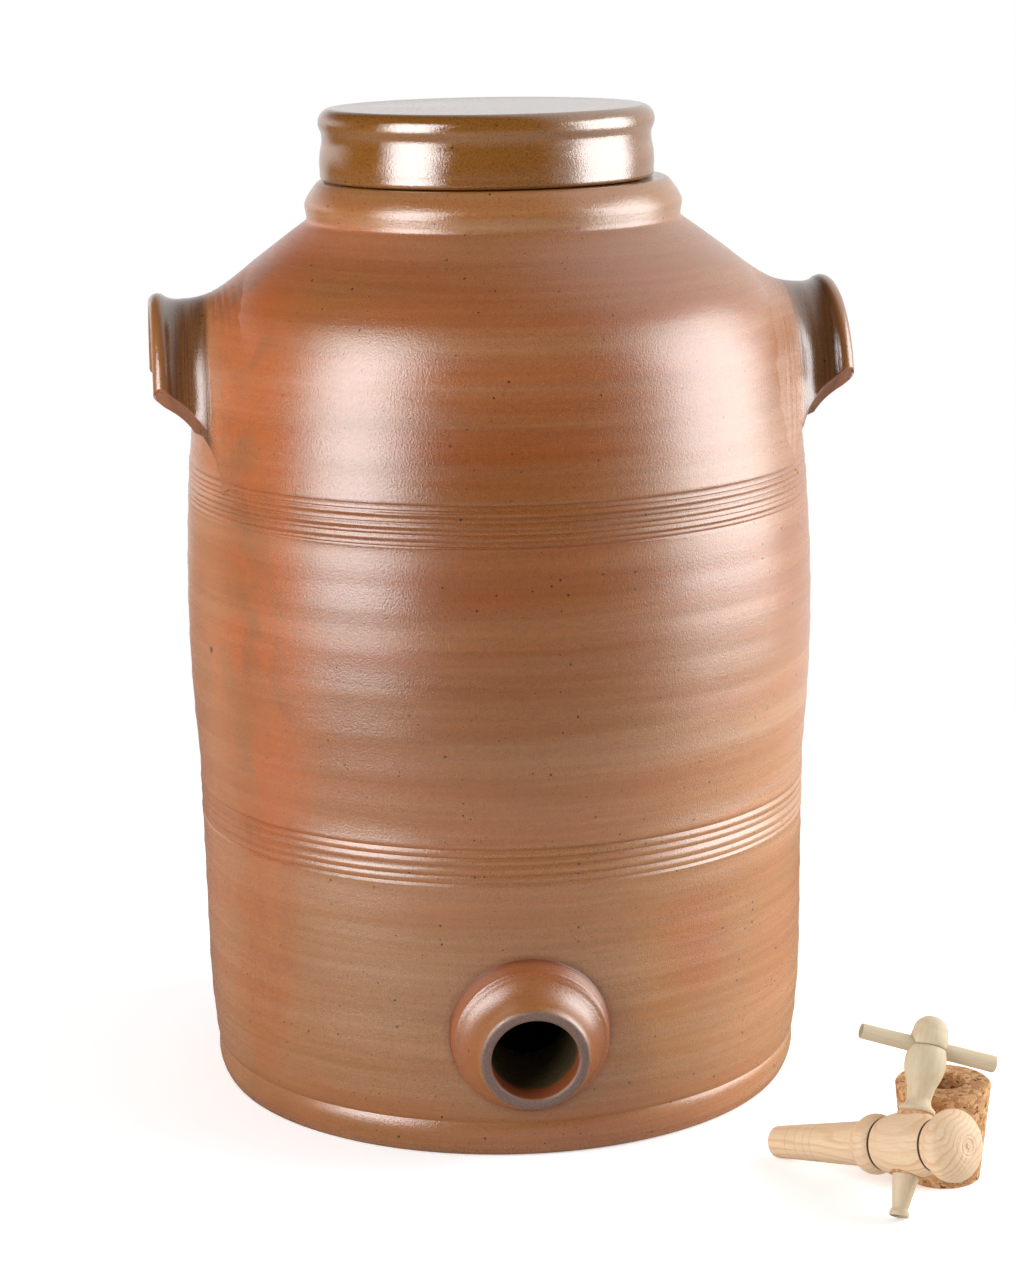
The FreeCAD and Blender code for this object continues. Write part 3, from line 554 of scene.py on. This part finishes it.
socket = {
    "mouth": np.array([0, -144.2, 48.2]), "tilt": 8.0, "around": 144, "seat": 30.6, "toe": 31.5, "hole": 18.5,
    "throat": [(14.5, -34), (14.6, -33), (16.7, -14), (16.7, -0.9), (17.5, 0), (20.4, 0), (21.0, -0.7, -0.3),
               (22.2, -4.2, 1.7), (30.0, -15.6), (30.04, -15.9)],
    "clay": srgb(146, 92, 48), "flash": srgb(154, 86, 44), "ash": srgb(150, 104, 60), "root": srgb(150, 80, 46),
    "creaseShade": srgb(104, 50, 30), "face": srgb(92, 62, 48), "facePale": srgb(128, 94, 78),
    "bore": srgb(138, 74, 40), "deep": srgb(84, 72, 48),
}
tilt = math.radians(socket["tilt"])
socketAxes = np.array([[1.0, 0, 0], [0, -math.sin(tilt), math.cos(tilt)], [0, -math.cos(tilt), -math.sin(tilt)]])


def seatedOn(origin, axes, rho, angle, lift):
    # distance along the third axis at which each point stands lift above the jar's wall, found by halving
    rho, angle = np.broadcast_arrays(rho, angle)
    near, far = np.full(rho.shape, -60.0), np.full(rho.shape, 180.0)
    for _ in range(36):
        middle = (near + far) / 2
        spot = aboutAxis(origin, axes, rho, angle, middle)
        inside = np.hypot(spot[..., 0], spot[..., 1]) < outerRadius(spot[..., 2]) + lift
        near, far = np.where(inside, middle, near), np.where(inside, far, middle)
    return near


def makeSocket():
    # rings about the tap hole: a fixed section outside, eased on to the wall by a cubic curve at each angle
    around, seat, toe = socket["around"], socket["seat"], socket["toe"]
    angle = np.linspace(0, 2 * math.pi, around, endpoint=False)[None, :]
    level = 0 * angle
    fixed = keenly(softened(outline(socket["throat"]), 0.5), 110, 4.0)
    radius, height = fixed[:, :1] + level, fixed[:, 1:] + level

    def wallAt(rho, lift):
        return seatedOn(socket["mouth"], socketAxes, rho, angle, lift)

    share = np.linspace(0, 1, 64)[1:, None]
    foot = wallAt(seat, 0.9)
    skirtRadius = cubic(share, (radius[-1:], 30.5 + level, seat + level, toe + level))
    skirtHeight = cubic(share, (height[-1:], 0.5 * (height[-1:] + foot), foot, wallAt(toe, -0.5)))
    radius = np.concatenate([radius, skirtRadius, 32.0 + level, 24.0 + level])
    height = np.concatenate([height, skirtHeight, wallAt(32.0, -3.0), wallAt(24.0, -3.0)])
    band = np.clip((radius - 26.5) / 1.6, 0, 1) * np.clip((toe - radius) / 1.0, 0, 1) * (height < -8)
    radius += 0.1 * band * np.sin(height * 4.6 + 0.8 * np.sin(2 * angle + 1) + 0.5 * np.sin(5 * angle))
    above = height - np.concatenate([np.minimum(height[:-2], foot), height[-2:]])
    # marks the socket near the wall, where painted shade darkens it
    creaseShade = np.exp(-np.clip(above, 0, 9) / 1.3) * (radius > 26)
    points = aboutAxis(socket["mouth"], socketAxes, radius, angle, height)
    return pieceFrom("socketSkin", points.reshape(-1, 3), gridFaces(len(radius), around, True, True), 50,
                     {"creaseShade": creaseShade})


socketSkin = makeSocket()
hole = outline([(0, -60), (socket["hole"], -60), (socket["hole"], 20), (0, 20)], 20)
carve(jarSkin, turned("holeForm", hole, 64, socket["mouth"], socketAxes))
print("socket made and bored")

handle = {
    "turn": 2.7, "level": 282.7, "reach": 139.3, "slope": 23.0, "bevel": 45.0, "edgeWidth": 42.8,
    "edgeDrop": 12.3, "neckReach": 120.4, "neckRadius": 42.5, "innerRadius": 36.9, "rootReach": 123.8,
    "spread": 57.0, "sideSpread": 17.0, "tailAngle": 118.0, "web": 5.0, "webDrop": 8.5, "endDrop": 5.0,
    "rounding": 1.7,
    "outside": [(139.3, 40.4), (139.6, 41.6, 2.35), (132.8, 43.6, -0.5), (126.0, 42.5)],
    "inside": [(139.3, 40.4), (138.9, 39.6), (135.3, 37.8)],
    "clay": srgb(112, 72, 38), "flash": srgb(120, 72, 36), "ash": srgb(124, 84, 48), "lip": srgb(150, 98, 56),
    "shade": srgb(78, 42, 26), "cut": srgb(142, 86, 56),
}


def makeHandle(name, heading):
    # an arch in reach and distance from a level axis, carried round from leg end to leg end: each row ends at
    # the sloping bevel cut, its root is a cubic fillet on to the wall, and the legs run out in two smears
    heading, slope = math.radians(heading), math.radians(handle["slope"])
    out = np.array([math.cos(heading), math.sin(heading), 0])
    axes = np.array([[0, 0, 1.0], np.cross([0, 0, 1.0], out), out])
    origin = np.array([0, 0, handle["level"]])
    bevel = math.tan(math.radians(handle["bevel"])) / math.cos(slope)
    neck, within, begin = handle["neckRadius"], handle["innerRadius"], handle["rootReach"]
    outside = outline(handle["outside"] + [(begin, neck + 0.05)])
    inside = outline(handle["inside"] + [(124.0, within), (handle["neckReach"], within)])
    outside, inside = keenly(softened(outside, 0.6), 46, 4.0), keenly(softened(inside, 0.6), 46, 4.0)
    ends = 1 - np.linspace(0, 1, 84) ** 2.2
    cols = np.concatenate([-ends, ends[-2::-1]])[None, :]

    def wallAt(rho, angle, lift=0.0):
        return seatedOn(origin, axes, rho, angle, lift)

    def archRows(part):
        # the angle of the bevel cut on each row, found by halving, a little lower at the root
        reach, rho = part[:, :1], part[:, 1:]
        low, high = np.full(rho.shape, 0.8), np.full(rho.shape, 2.4)
        edge = handle["edgeDrop"] + (reach - handle["reach"]) * math.tan(slope)
        for _ in range(30):
            mid = (low + high) / 2
            above = rho * np.cos(mid) > edge - (handle["edgeWidth"] - rho * np.sin(mid)) * bevel
            low, high = np.where(above, mid, low), np.where(above, high, mid)
        last = low + handle["endDrop"] / rho * np.exp(-np.clip(reach - begin, 0, None) / 4.5) + 0 * cols
        return [reach + 0 * cols, rho + 0 * cols, last * cols, last]

    outer, inner = archRows(outside), archRows(inside)

    # the root outside: a fillet that spreads on to the wall, with a web along the leg's lower edge
    share = np.linspace(0, 1, 34)[1:, None]
    lean, tail = outer[3][-1, 0], math.radians(handle["tailAngle"])
    last = lean + (tail - lean) * share ** 1.15 + 0 * cols
    angle = last * cols
    toTail = np.clip((np.abs(angle) - 1.5) / (tail - 1.5), 0, 1)
    far = handle["spread"] + handle["sideSpread"] * np.sin(angle) ** 2 * (1 - 0.8 * toTail ** 1.5)
    near = neck + 0 * angle
    part = near + 0.4 * (far - near)
    knee = np.minimum(begin - 2.6, wallAt(near + 2.0, angle) + 3.2)
    reach = cubic(share, (begin, knee, wallAt(part, angle, 2.2), wallAt(far, angle, -0.7)))
    rho = cubic(share, (near + 0.05, near + 0.9, part, far))
    foot = wallAt(rho, angle)
    web = foot + (begin - foot) * np.exp(-((last - lean) * rho / handle["webDrop"]) ** 1.1)
    ridge = (last - np.abs(angle)) * rho / handle["web"]
    reach = reach + np.clip(web - reach, 0, None) * np.exp(-ridge ** 2)
    root = [reach, rho, angle, last]

    # inside, the arch runs straight into the wall, but its ends follow the smears a few millimetres lower
    edge = 5.2 * (1 - share) + 1.4
    lastIn = last + edge / rho[:, -1:]
    angleIn = lastIn * cols
    toEnd = np.clip((np.abs(cols) - 0.8) / 0.2, 0, 1)
    follow = toEnd ** 2 * (3 - 2 * toEnd)
    rhoIn = within + follow * (rho[:, -1:] - edge - within)
    floor = wallAt(rhoIn, angleIn)
    lowest = handle["neckReach"] - share * (handle["neckReach"] - floor + 2.5)
    beside = np.maximum(floor - 0.6, floor + (reach[:, -1:] - foot[:, -1:]) * 0.5 - 0.6)
    rootIn = [lowest * (1 - follow) + beside * follow, rhoIn, angleIn, lastIn]

    def sunk(rows, aside):
        rho, angle = rows[1][-1:] + aside, rows[2][-1:]
        return [wallAt(rho, angle, -3.0), rho, angle, rows[3][-1:]]

    back = [[values[::-1] for values in rows] for rows in (rootIn, inner)]
    order = [outer, root, sunk(root, -1.5), sunk(rootIn, 0.0), *back]
    reach, rho, angle, last = (np.concatenate(parts) for parts in zip(*order))

    # the leg ends are rounded by a quarter circle, and fingers have left soft ribs beside the root
    rows, count = reach.shape
    half, row = rows // 2, np.arange(rows)[:, None]
    fromEnd = (last - np.abs(angle)) * rho
    bendBy = np.minimum(handle["rounding"], 0.45 * np.abs(rho - rho[::-1]))
    close = np.clip(bendBy - fromEnd, 0, None)
    inset = bendBy - np.sqrt(np.clip(bendBy ** 2 - close ** 2, 0, None))
    inset = inset * np.where(row < half, -1, 1)
    inset[len(outside) + 20:half + 22] *= 0.5
    ribs = np.sin(reach * 2.3 + 0.6 * np.sin(2.2 * angle))
    ribs += 0.6 * np.sin(reach * 4.1 + 1.3 * np.sin(1.4 * angle + 1))
    ribs = 0.09 * ribs * np.exp(-((reach - 111.0) / 6.5) ** 2)
    ribs *= np.clip(1.3 - np.clip((np.abs(angle) - 1.7) / 0.3, 0, 1), 0, 1)
    rho = rho + inset + np.where(row < half - 4, ribs, 0) + 0.22 * ripple(angle, reach, 11)
    points = aboutAxis(origin, axes, rho, angle, reach)
    pair = np.arange(half - 1)
    caps = [np.stack([pair, pair + 1, rows - 2 - pair, rows - 1 - pair], 1) * count + column
            for column in (0, count - 1)]
    faces = np.concatenate([gridFaces(rows, count, True, False), caps[0][:, ::-1], caps[1]])
    cutFace = np.clip(1.6 - fromEnd, 0, 1) * np.clip((reach - 121) / 3, 0, 1)
    return pieceFrom(name, points.reshape(-1, 3), faces, 50, {"cutFace": cutFace})


handleRight = makeHandle("handleSkinRight", handle["turn"])
handleLeft = makeHandle("handleSkinLeft", 180 + handle["turn"])
print("handles pulled")

lid = {
    "off": 2.3, "foot": 370.5, "edge": 0.7,
    "section": [(0, 20.5), (58.2, 20.5), (61.2, 17.5), (61.2, 0), (66.1, 0), (67.0, 0.9, 0.05), (67.1, 3.1),
                (66.8, 3.5), (67.1, 3.9, 0.3), (66.6, 12.6, -0.3), (66.1, 17.6), (66.1, 18.6), (67.0, 20.4, 2.3),
                (62.5, 28.5), (57, 28.2), (0, 28.0)],
    "clay": srgb(132, 82, 28), "flash": srgb(139, 84, 26), "ash": srgb(138, 95, 40), "pepper": srgb(92, 50, 18),
}


def makeLid():
    def uneven(radius, height, angle):
        # the rim is a little out of round and the top a little out of true
        ease = np.clip((radius - 20) / 30, 0, 1) * (height > 24)
        return (radius + 0.12 * ripple(angle, height, 7) * (radius > 55),
                height + 0.1 * ease * ripple(angle, radius, 8))

    rows = keenly(softened(outline(lid["section"]), lid["edge"]), 150, 6.0)
    return turned("lidSkin", rows, 192, (-lid["off"], 0, lid["foot"]), wobble=uneven, sharp=50)


lidSkin = makeLid()
print("lid made")

cork = {
    "place": (154.504, -156.405, 0), "pale": srgb(214, 170, 122), "deep": srgb(168, 112, 68),
    "section": [(8.05, 0), (14.1, 0), (14.5, 0.4), (18.15, 37.2), (17.4, 38), (8.5, 38), (8.05, 37.6), (8.05, 0)],
}


def makeBung():
    def crumbly(radius, height, angle):
        rough = 0.07 * np.sin(5 * angle + height) * np.sin(0.9 * height + 3 * np.sin(2 * angle))
        return radius + rough * (radius > 8.6), height

    rows = keenly(evenly(outline(cork["section"]), 0.2), 120, 1.5)[:-1]
    return turned("bungSkin", rows, 128, cork["place"], ring=True, wobble=crumbly, sharp=40)


bungSkin = makeBung()
print("bung made")

spigot = {
    "centre": np.array([136.3, -184.6, 24.4043]), "barrel": np.array([0.5827790, -0.7677830, 0.2662292]),
    "key": np.array([0.2641602, 0.4888091, 0.8314355]), "barTurn": 59.5, "barLength": 26.7, "barHeight": 37.35,
    "scribed": (-59.8, -54.3, -49.8, -45.9),  # fine lines round the tail
    "faceRings": ((25.6, 0.08), (26.9, 0.14), (27.6, 0.14)),
    "barrelForm": [(0, 28.7), (0.95, 28.7), (1.35, 28.2, -2.2), (13.2, 22.7, -0.9), (11.6, 16.2, 0.35),
                   (9.9, 12.95), (9.2, 12.35), (9.9, 11.75, -2.4), (9.9, -12.45), (9.2, -13.05),
                   (9.9, -13.65, -1.5), (9.9, -21.5, 0.25), (8.47, -25.0), (6.15, -69.4), (5.75, -69.8),
                   (0, -69.8)],
    "keyForm": [(0, -27.1), (3.37, -27.1), (3.67, -26.8), (3.67, -25.5, -0.1), (3.05, -24.0), (4.95, -12.0),
                (6.2, 12.2), (6.6, 12.2, 0.3), (6.6, 14.0, -0.9), (4.75, 18.6, -0.2), (6.2, 24.2, 1.2),
                (6.9, 36.8), (6.2, 37.35), (6.9, 37.9, 0.4), (6.55, 43.5, 0.8), (3.6, 48.3), (3.2, 48.8),
                (0, 48.8)],
    "mouthForm": [(0, -28), (3.1, -28), (2.9, -26.6), (2.2, -24.5), (2.2, 0), (0, 2.2)],
    "portForm": [(0, -8), (1.9, -8), (1.9, 0), (0, 0)], "barForm": [(0, -12), (2.98, -12), (3.12, 12), (0, 12)],
    "lining": (-11.7, 11.6, 0.05, 1.1), "seat": (7.8, 11.9), "flow": 2.5,  # lining: from, to, gap, thickness
    "beech": (srgb(226, 196, 162), srgb(202, 142, 92), 420.0, 0.5),  # pale, late, rings per metre, contrast
    "limewood": (srgb(208, 190, 160), srgb(188, 166, 132), 500.0), "keyContrast": 0.12, "barContrast": 0.15,
    "burnt": srgb(52, 30, 18), "grooves": ((12.35, 0.62, 0.95), (-13.05, 0.62, 0.95)),
}
barrelAxes = np.array([spigot["key"], np.cross(spigot["barrel"], spigot["key"]), spigot["barrel"]])
keySide = np.cross(spigot["key"], spigot["barrel"])
turnBy = math.radians(spigot["barTurn"])
barAxis = spigot["barrel"] * math.cos(turnBy) + keySide * math.sin(turnBy)
keyAxes = np.array([barAxis, np.cross(spigot["key"], barAxis), spigot["key"]])
barAxes = np.array([spigot["key"], np.cross(barAxis, spigot["key"]), barAxis])
boreAxes = np.array([spigot["barrel"], keySide, spigot["key"]])
tapPlace = spigot["centre"]
barPlace = tapPlace + spigot["barHeight"] * spigot["key"]


def plugRadius(height, grow=0.0):
    return 4.95 + 1.25 * (height + 12) / 24.2 + grow


def drill(name, corners, around, axes, place=tapPlace):
    # a turned form that is taken out of a piece
    return turned(name, outline(corners, 30), around, place, axes)


def flowDrill(name, start):
    wide = spigot["flow"]
    return drill(name, [(0, start), (wide, start), (wide, 0), (0, 0)], 48, barrelAxes)


def makeBarrel():
    section = softened(outline(spigot["barrelForm"]), 0.16, 0.08)
    for mark in spigot["scribed"]:
        section[:, 0] -= 0.10 * np.exp(-((section[:, 1] - mark) / 0.12) ** 2)
    for mark, depth in spigot["faceRings"]:
        gap = (section[:, 0] - (28.7 - mark) * 2.1) / 0.35
        section[:, 1] -= depth * np.exp(-gap ** 2) * (section[:, 1] > 24)
    piece = turned("tapBarrelWood", keenly(section, 330, 7.0), 128, tapPlace, barrelAxes)
    wide, seat = spigot["seat"]
    corners = [(0, -18), (plugRadius(-18, 1.12), -18), (plugRadius(seat, 1.12), seat), (wide, seat), (wide, 22),
               (0, 22)]
    return carve(piece, drill("boreForm", corners, 96, boreAxes), flowDrill("flowForm", -75))


def makeLining():
    low, high, gap, thick = spigot["lining"]
    corners = [(plugRadius(at, grow), at)
               for at, grow in ((low, gap), (low, thick), (high, thick), (high, gap), (low, gap))]
    rows = evenly(outline(corners), 0.5)[:-1]
    piece = turned("liningCork", rows, 96, tapPlace, boreAxes, ring=True)
    return carve(piece, flowDrill("portForm", -12))


def makeKey():
    rows = keenly(softened(outline(spigot["keyForm"]), 0.16, 0.08), 260, 6.0)
    piece = turned("keyWood", rows, 112, tapPlace, keyAxes)
    mouth = drill("mouthForm", spigot["mouthForm"], 48, keyAxes)
    port = drill("sideForm", spigot["portForm"], 40, barAxes)
    through = drill("throughForm", spigot["barForm"], 48, barAxes, barPlace)
    return carve(piece, mouth, port, through)


def makeCrossbar():
    end = spigot["barLength"]
    corners = [(0, -end), (2.5, -end), (2.85, 0.4 - end), (3.2, end - 0.4), (2.8, end), (0, end)]
    rows = keenly(softened(outline(corners), 0.12, 0.08), 90, 6.0)
    return turned("crossbarWood", rows, 72, barPlace, barAxes)


barrelWood, liningCork, keyWood, crossbarWood = makeBarrel(), makeLining(), makeKey(), makeCrossbar()
print("spigot turned")

clayShine = {"Roughness": 0.28, "IOR": 1.62, "Specular_IOR_Level": 1.0}


def jarFinish():
    material, shader, where = newMaterial("saltGlazedBody", **clayShine)
    skin = useGroup(where, potGroup)
    # painted shade in the scored lines
    color = tinted(skin["Color"], jar["grooveShadeColor"], marked(where, "hollow"), 0.28)
    across, up, _ = parted(inAxes(where, socket["mouth"], socketAxes))
    # painted shade: a darker ring on the wall round the socket's root
    color = tinted(color, jar["socketRingShade"], ramp(hypot(across, up), 0.0345, 0.0305),
                   ramp(parted(where)[1], -0.09, -0.11), 0.45)
    finish(shader, color, skin["Rough"], skin["Height"])
    return material


def socketFinish():
    # glazed outside, with painted shade where it meets the wall, a gritty bare face and a bore that is glazed
    # deep down
    material, shader, where = newMaterial("socketClay", **clayShine)
    local = inAxes(where, socket["mouth"], socketAxes)
    across, up, along = parted(local)
    rho = hypot(across, up)
    skin = glazed(local, socket, 0.35, 0.7)
    color = tinted(skin["Color"], socket["root"], ramp(rho, 0.0285, 0.0302), 0.4)
    # painted shade where the socket meets the wall
    color = tinted(color, socket["creaseShade"], marked(where, "creaseShade"), 0.75)
    face = times(ramp(along, -0.0011, -0.0004), ramp(rho, 0.0212, 0.0206))
    grit = ramp(noise(local, 1500.0, 3.0, 0.7), 0.35, 0.65)
    color = blended(face, color, blended(grit, socket["face"], socket["facePale"]))
    bore = ramp(rho, 0.0172, 0.0167)
    color = blended(bore, color, socket["bore"])
    ragged = plus(along, times(noise(local, 160.0, 3.0, 0.6), 0.006))
    color = tinted(color, socket["deep"], bore, ramp(ragged, -0.0052, -0.0062))
    rough = plus(skin["Rough"], maths("MULTIPLY_ADD", face, 0.32, 0.3))
    finish(shader, color, rough, skin["Height"])
    return material


def handleFinish(heading):
    # dark glaze on the arch, ochre on the lip, the jar's own colour at the root; reach runs along the handle
    material, shader, where = newMaterial("handleClay", **clayShine)
    heading = math.radians(heading)
    out = (math.cos(heading), math.sin(heading), 0)
    reach = put(treeOf(where), "VectorMath", {0: where, 1: out}, operation="DOT_PRODUCT").outputs["Value"]
    skin = glazed(where, handle, 0.3, 0.8)
    wall = useGroup(where, potGroup)
    fingers = noise(where, (520, 12, 12), 3.0, 0.6)
    color = lightened(skin["Color"], ramp(fingers, 0.3, 0.7, 0.8, 1.2))
    color = tinted(color, handle["lip"], ramp(reach, 0.1325, 0.1355), 0.85)
    ragged = plus(reach, times(fingers, 0.004))
    color = blended(ramp(ragged, 0.1215, 0.1175), color, wall["Color"])
    streaks = noise(where, (1500, 40, 16), 3.0, 0.6)
    color = tinted(color, handle["shade"], ramp(reach, 0.116, 0.1195),
                   ramp(reach, 0.131, 0.1245), ramp(streaks, 0.5, 0.66, 0.0, 0.75))
    color = tinted(color, handle["cut"], marked(where, "cutFace"), 0.7)
    rough = plus(skin["Rough"], ramp(reach, 0.118, 0.134, 0.26, 0.12))
    drawn = times(fingers, ramp(reach, 0.1215, 0.118, 0.4, 2.2), ramp(reach, 0.104, 0.112))
    finish(shader, color, rough, plus(skin["Height"], drawn))
    return material


def lidFinish():
    material, shader, where = newMaterial("lidGlaze", Roughness=0.12, IOR=1.8, Specular_IOR_Level=1.0)
    skin = glazed(where, lid, 0.6, 0.85)
    pepper = ramp(noise(where, 1500.0, 3.0, 0.8), 0.48, 0.62)
    color = tinted(skin["Color"], lid["pepper"], pepper, 0.55)
    finish(shader, color, plus(skin["Rough"], 0.075), skin["Height"], 0.45, 0.00016)
    return material


def woodFinish(name, axes, dark, pale, late, rings, contrast):
    # dark holds (middle, half width, strength) of burnt rings along the piece
    material, shader, where = newMaterial(name, Roughness=0.5, IOR=1.45, Specular_IOR_Level=0.35)
    local = inAxes(where, tapPlace, [axes[2], axes[0], axes[1]])
    grain = useGroup(local, woodGroup, Pale=pale, Late=late, Rings=rings, Contrast=contrast)
    color = grain["Color"]
    along = parted(local)[0]
    for middle, width, strength in dark:
        gap = maths("ABSOLUTE", maths("SUBTRACT", along, middle * 0.001))
        color = tinted(color, spigot["burnt"], ramp(gap, width * 0.001, width * 0.0006), strength)
    finish(shader, color, grain["Rough"], grain["Height"], 0.12, 0.0003)
    return material


def corkFinish():
    material, shader, where = newMaterial("corkCrumbs", Roughness=0.8, IOR=1.45, Specular_IOR_Level=0.3)
    skin = useGroup(where, corkGroup, Pale=cork["pale"], Deep=cork["deep"])
    finish(shader, skin["Color"], None, skin["Height"], 0.6, 0.0004)
    return material


end, lime = spigot["barLength"], spigot["limewood"]
dark = [*spigot["grooves"], *((mark, 0.14, 0.3) for mark in spigot["scribed"])]
barrelMaterial = woodFinish("barrelBeech", barrelAxes, dark, *spigot["beech"])
dark = [(spigot["barHeight"], 0.22, 0.5)]
keyMaterial = woodFinish("keyLimewood", keyAxes, dark, *lime, spigot["keyContrast"])
dark = [(-end, 0.3, 0.5), (end, 0.3, 0.4)]
barMaterial = woodFinish("barLimewood", barAxes, dark, *lime, spigot["barContrast"])
corkMaterial = corkFinish()
for piece, node, body, slot, material in (
        (jarSkin, "jar_body", "jar", "stoneware_body", jarFinish()),
        (socketSkin, "tap_socket", "jar", "stoneware_socket", socketFinish()),
        (handleLeft, "handle_left", "jar", "stoneware_handle", handleFinish(180 + handle["turn"])),
        (handleRight, "handle_right", "jar", "stoneware_handle", handleFinish(handle["turn"])),
        (lidSkin, "lid", "lid", "stoneware_lid", lidFinish()),
        (bungSkin, "bung", "bung", "cork", corkMaterial),
        (barrelWood, "tap_barrel", "tap", "barrel_wood", barrelMaterial),
        (liningCork, "cork_lining", "tap", "cork", corkMaterial),
        (keyWood, "key", "key", "key_wood", keyMaterial),
        (crossbarWood, "crossbar", "key", "key_wood", barMaterial)):
    piece.data.materials.clear()
    piece.data.materials.append(material)
    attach(piece, body)
    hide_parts(node)
print("finishes set")

light = {
    "ambient": 0.13, "background": 1.0, "floorLift": 0.4, "floorSize": 14.0,
    "floorColor": (0.9, 0.9, 0.9, 1), "floorMirrored": (0.28, 0.28, 0.28, 1), "aim": (0, 0, 0.26),
    "boxes": (("leftBox", -56, 1.15, 0.52, (0.72, 1.3), 17.2), ("rightBox", 84, 1.15, 0.4, (1.0, 1.3), 18.5)),
}


def makeFloor():
    # pale with the shadow near the object, plain white further out; gloss sees it darker in front
    size = light["floorSize"]
    mesh = bpy.data.meshes.new("floor")
    mesh.from_pydata([(-size, -size, 0), (size, -size, 0), (size, size, 0), (-size, size, 0)], [], [(0, 1, 2, 3)])
    material, shader, where = newMaterial("paleFloor")
    tree = treeOf(where)
    tree.nodes.remove(shader)
    far = put(tree, "VectorMath", {0: where}, operation="LENGTH").outputs["Value"]
    path = put(tree, "LightPath").outputs
    seen, glossy = path["Is Camera Ray"], path["Is Glossy Ray"]
    x, y, _ = parted(where)
    behind = ramp(plus(x, times(y, 0.8)), 0.1, 0.6, 0.0, 0.85)
    share = times(maths("MAXIMUM", seen, times(glossy, behind)), ramp(far, 0.3, 0.75))
    matt = put(tree, "BsdfDiffuse", {"Color": blended(glossy, light["floorColor"], light["floorMirrored"])})
    lifted = put(tree, "Emission", {"Strength": times(seen, light["floorLift"])})
    near = put(tree, "AddShader", {0: matt.outputs[0], 1: lifted.outputs[0]})
    bright = put(tree, "Emission", {"Color": (1, 1, 1, 1), "Strength": light["background"]})
    mix = put(tree, "MixShader", {0: share, 1: near.outputs[0], 2: bright.outputs[0]})
    tree.links.new(mix.outputs[0], tree.nodes["Material Output"].inputs[0])
    mesh.materials.append(material)
    floor = added("floor", mesh)


def makeWorld():
    # white to the camera and to gloss that looks behind the object, a low even light otherwise
    world = bpy.context.scene.world = bpy.data.worlds.new("studio")
    world.use_nodes = True
    tree = world.node_tree
    path = put(tree, "LightPath").outputs
    seen, glossy = path["Is Camera Ray"], path["Is Glossy Ray"]
    x, y, z = parted(put(tree, "TexCoord").outputs["Generated"])
    backdrop = ramp(plus(x, times(y, 0.55)), 0.1, 0.7)
    behind = times(glossy, times(ramp(y, 0.3, 0.75), ramp(z, 0.4, 0.15)))
    white = maths("MAXIMUM", maths("MAXIMUM", seen, behind), backdrop)
    dim = maths("SUBTRACT", light["ambient"], times(glossy, 0.1))
    strength = put(tree, "MapRange", {0: white, 3: dim, 4: light["background"]}).outputs[0]
    tree.nodes["Background"].inputs["Color"].default_value = (1, 1, 1, 1)
    tree.links.new(strength, tree.nodes["Background"].inputs["Strength"])


def standing(axes, place):
    # three unit axes and a place as one transform
    matrix = np.eye(4)
    matrix[:3, :3], matrix[:3, 3] = np.array(axes).T, place
    return Matrix(matrix.tolist())


def softbox(name, azimuth, distance, height, size, power):
    # azimuth is turned from the front towards +X; the panel faces the aim point
    lamp = bpy.data.lights.new(name, "AREA")
    lamp.shape, lamp.size, lamp.size_y, lamp.energy = "RECTANGLE", size[0], size[1], power
    azimuth = math.radians(azimuth)
    place = np.array([math.sin(azimuth) * distance, -math.cos(azimuth) * distance, height])
    back = place - np.array(light["aim"])
    back /= np.linalg.norm(back)
    side = np.cross([0, 0, 1], back)
    side /= np.linalg.norm(side)
    panel = added(name, lamp)
    panel.matrix_world = standing([side, np.cross(back, side), back], place)
    panel.visible_camera = False


view = {"place": (-0.0979, -1.2440, 0.4676), "pitch": 12.91, "yaw": 4.661, "roll": -0.81, "lens": 87.34}


def makeCamera():
    # 4.5 degrees to the left of the socket's facing, looking 12.9 degrees down
    pitch, yaw, roll = (math.radians(view[key]) for key in ("pitch", "yaw", "roll"))
    level = np.array([math.sin(yaw), math.cos(yaw), 0])
    flat = np.array([math.cos(yaw), -math.sin(yaw), 0])
    ahead = math.cos(pitch) * level - math.sin(pitch) * np.array([0, 0, 1])
    upright = math.sin(pitch) * level + math.cos(pitch) * np.array([0, 0, 1])
    right = math.cos(roll) * flat + math.sin(roll) * upright
    up = math.cos(roll) * upright - math.sin(roll) * flat
    data = bpy.data.cameras.new("camera")
    data.sensor_fit, data.sensor_height, data.sensor_width, data.lens = "VERTICAL", 36.0, 28.8, view["lens"]
    data.clip_start, data.clip_end = 0.05, 100.0
    camera = added("camera", data)
    camera.matrix_world = standing([right, up, -ahead], view["place"])
    bpy.context.scene.camera = camera


makeFloor()
makeWorld()
for box in light["boxes"]:
    softbox(*box)
makeCamera()
bpy.context.scene.view_settings.view_transform = "Standard"
print("floor, light and camera set")

bpy.context.view_layer.update()
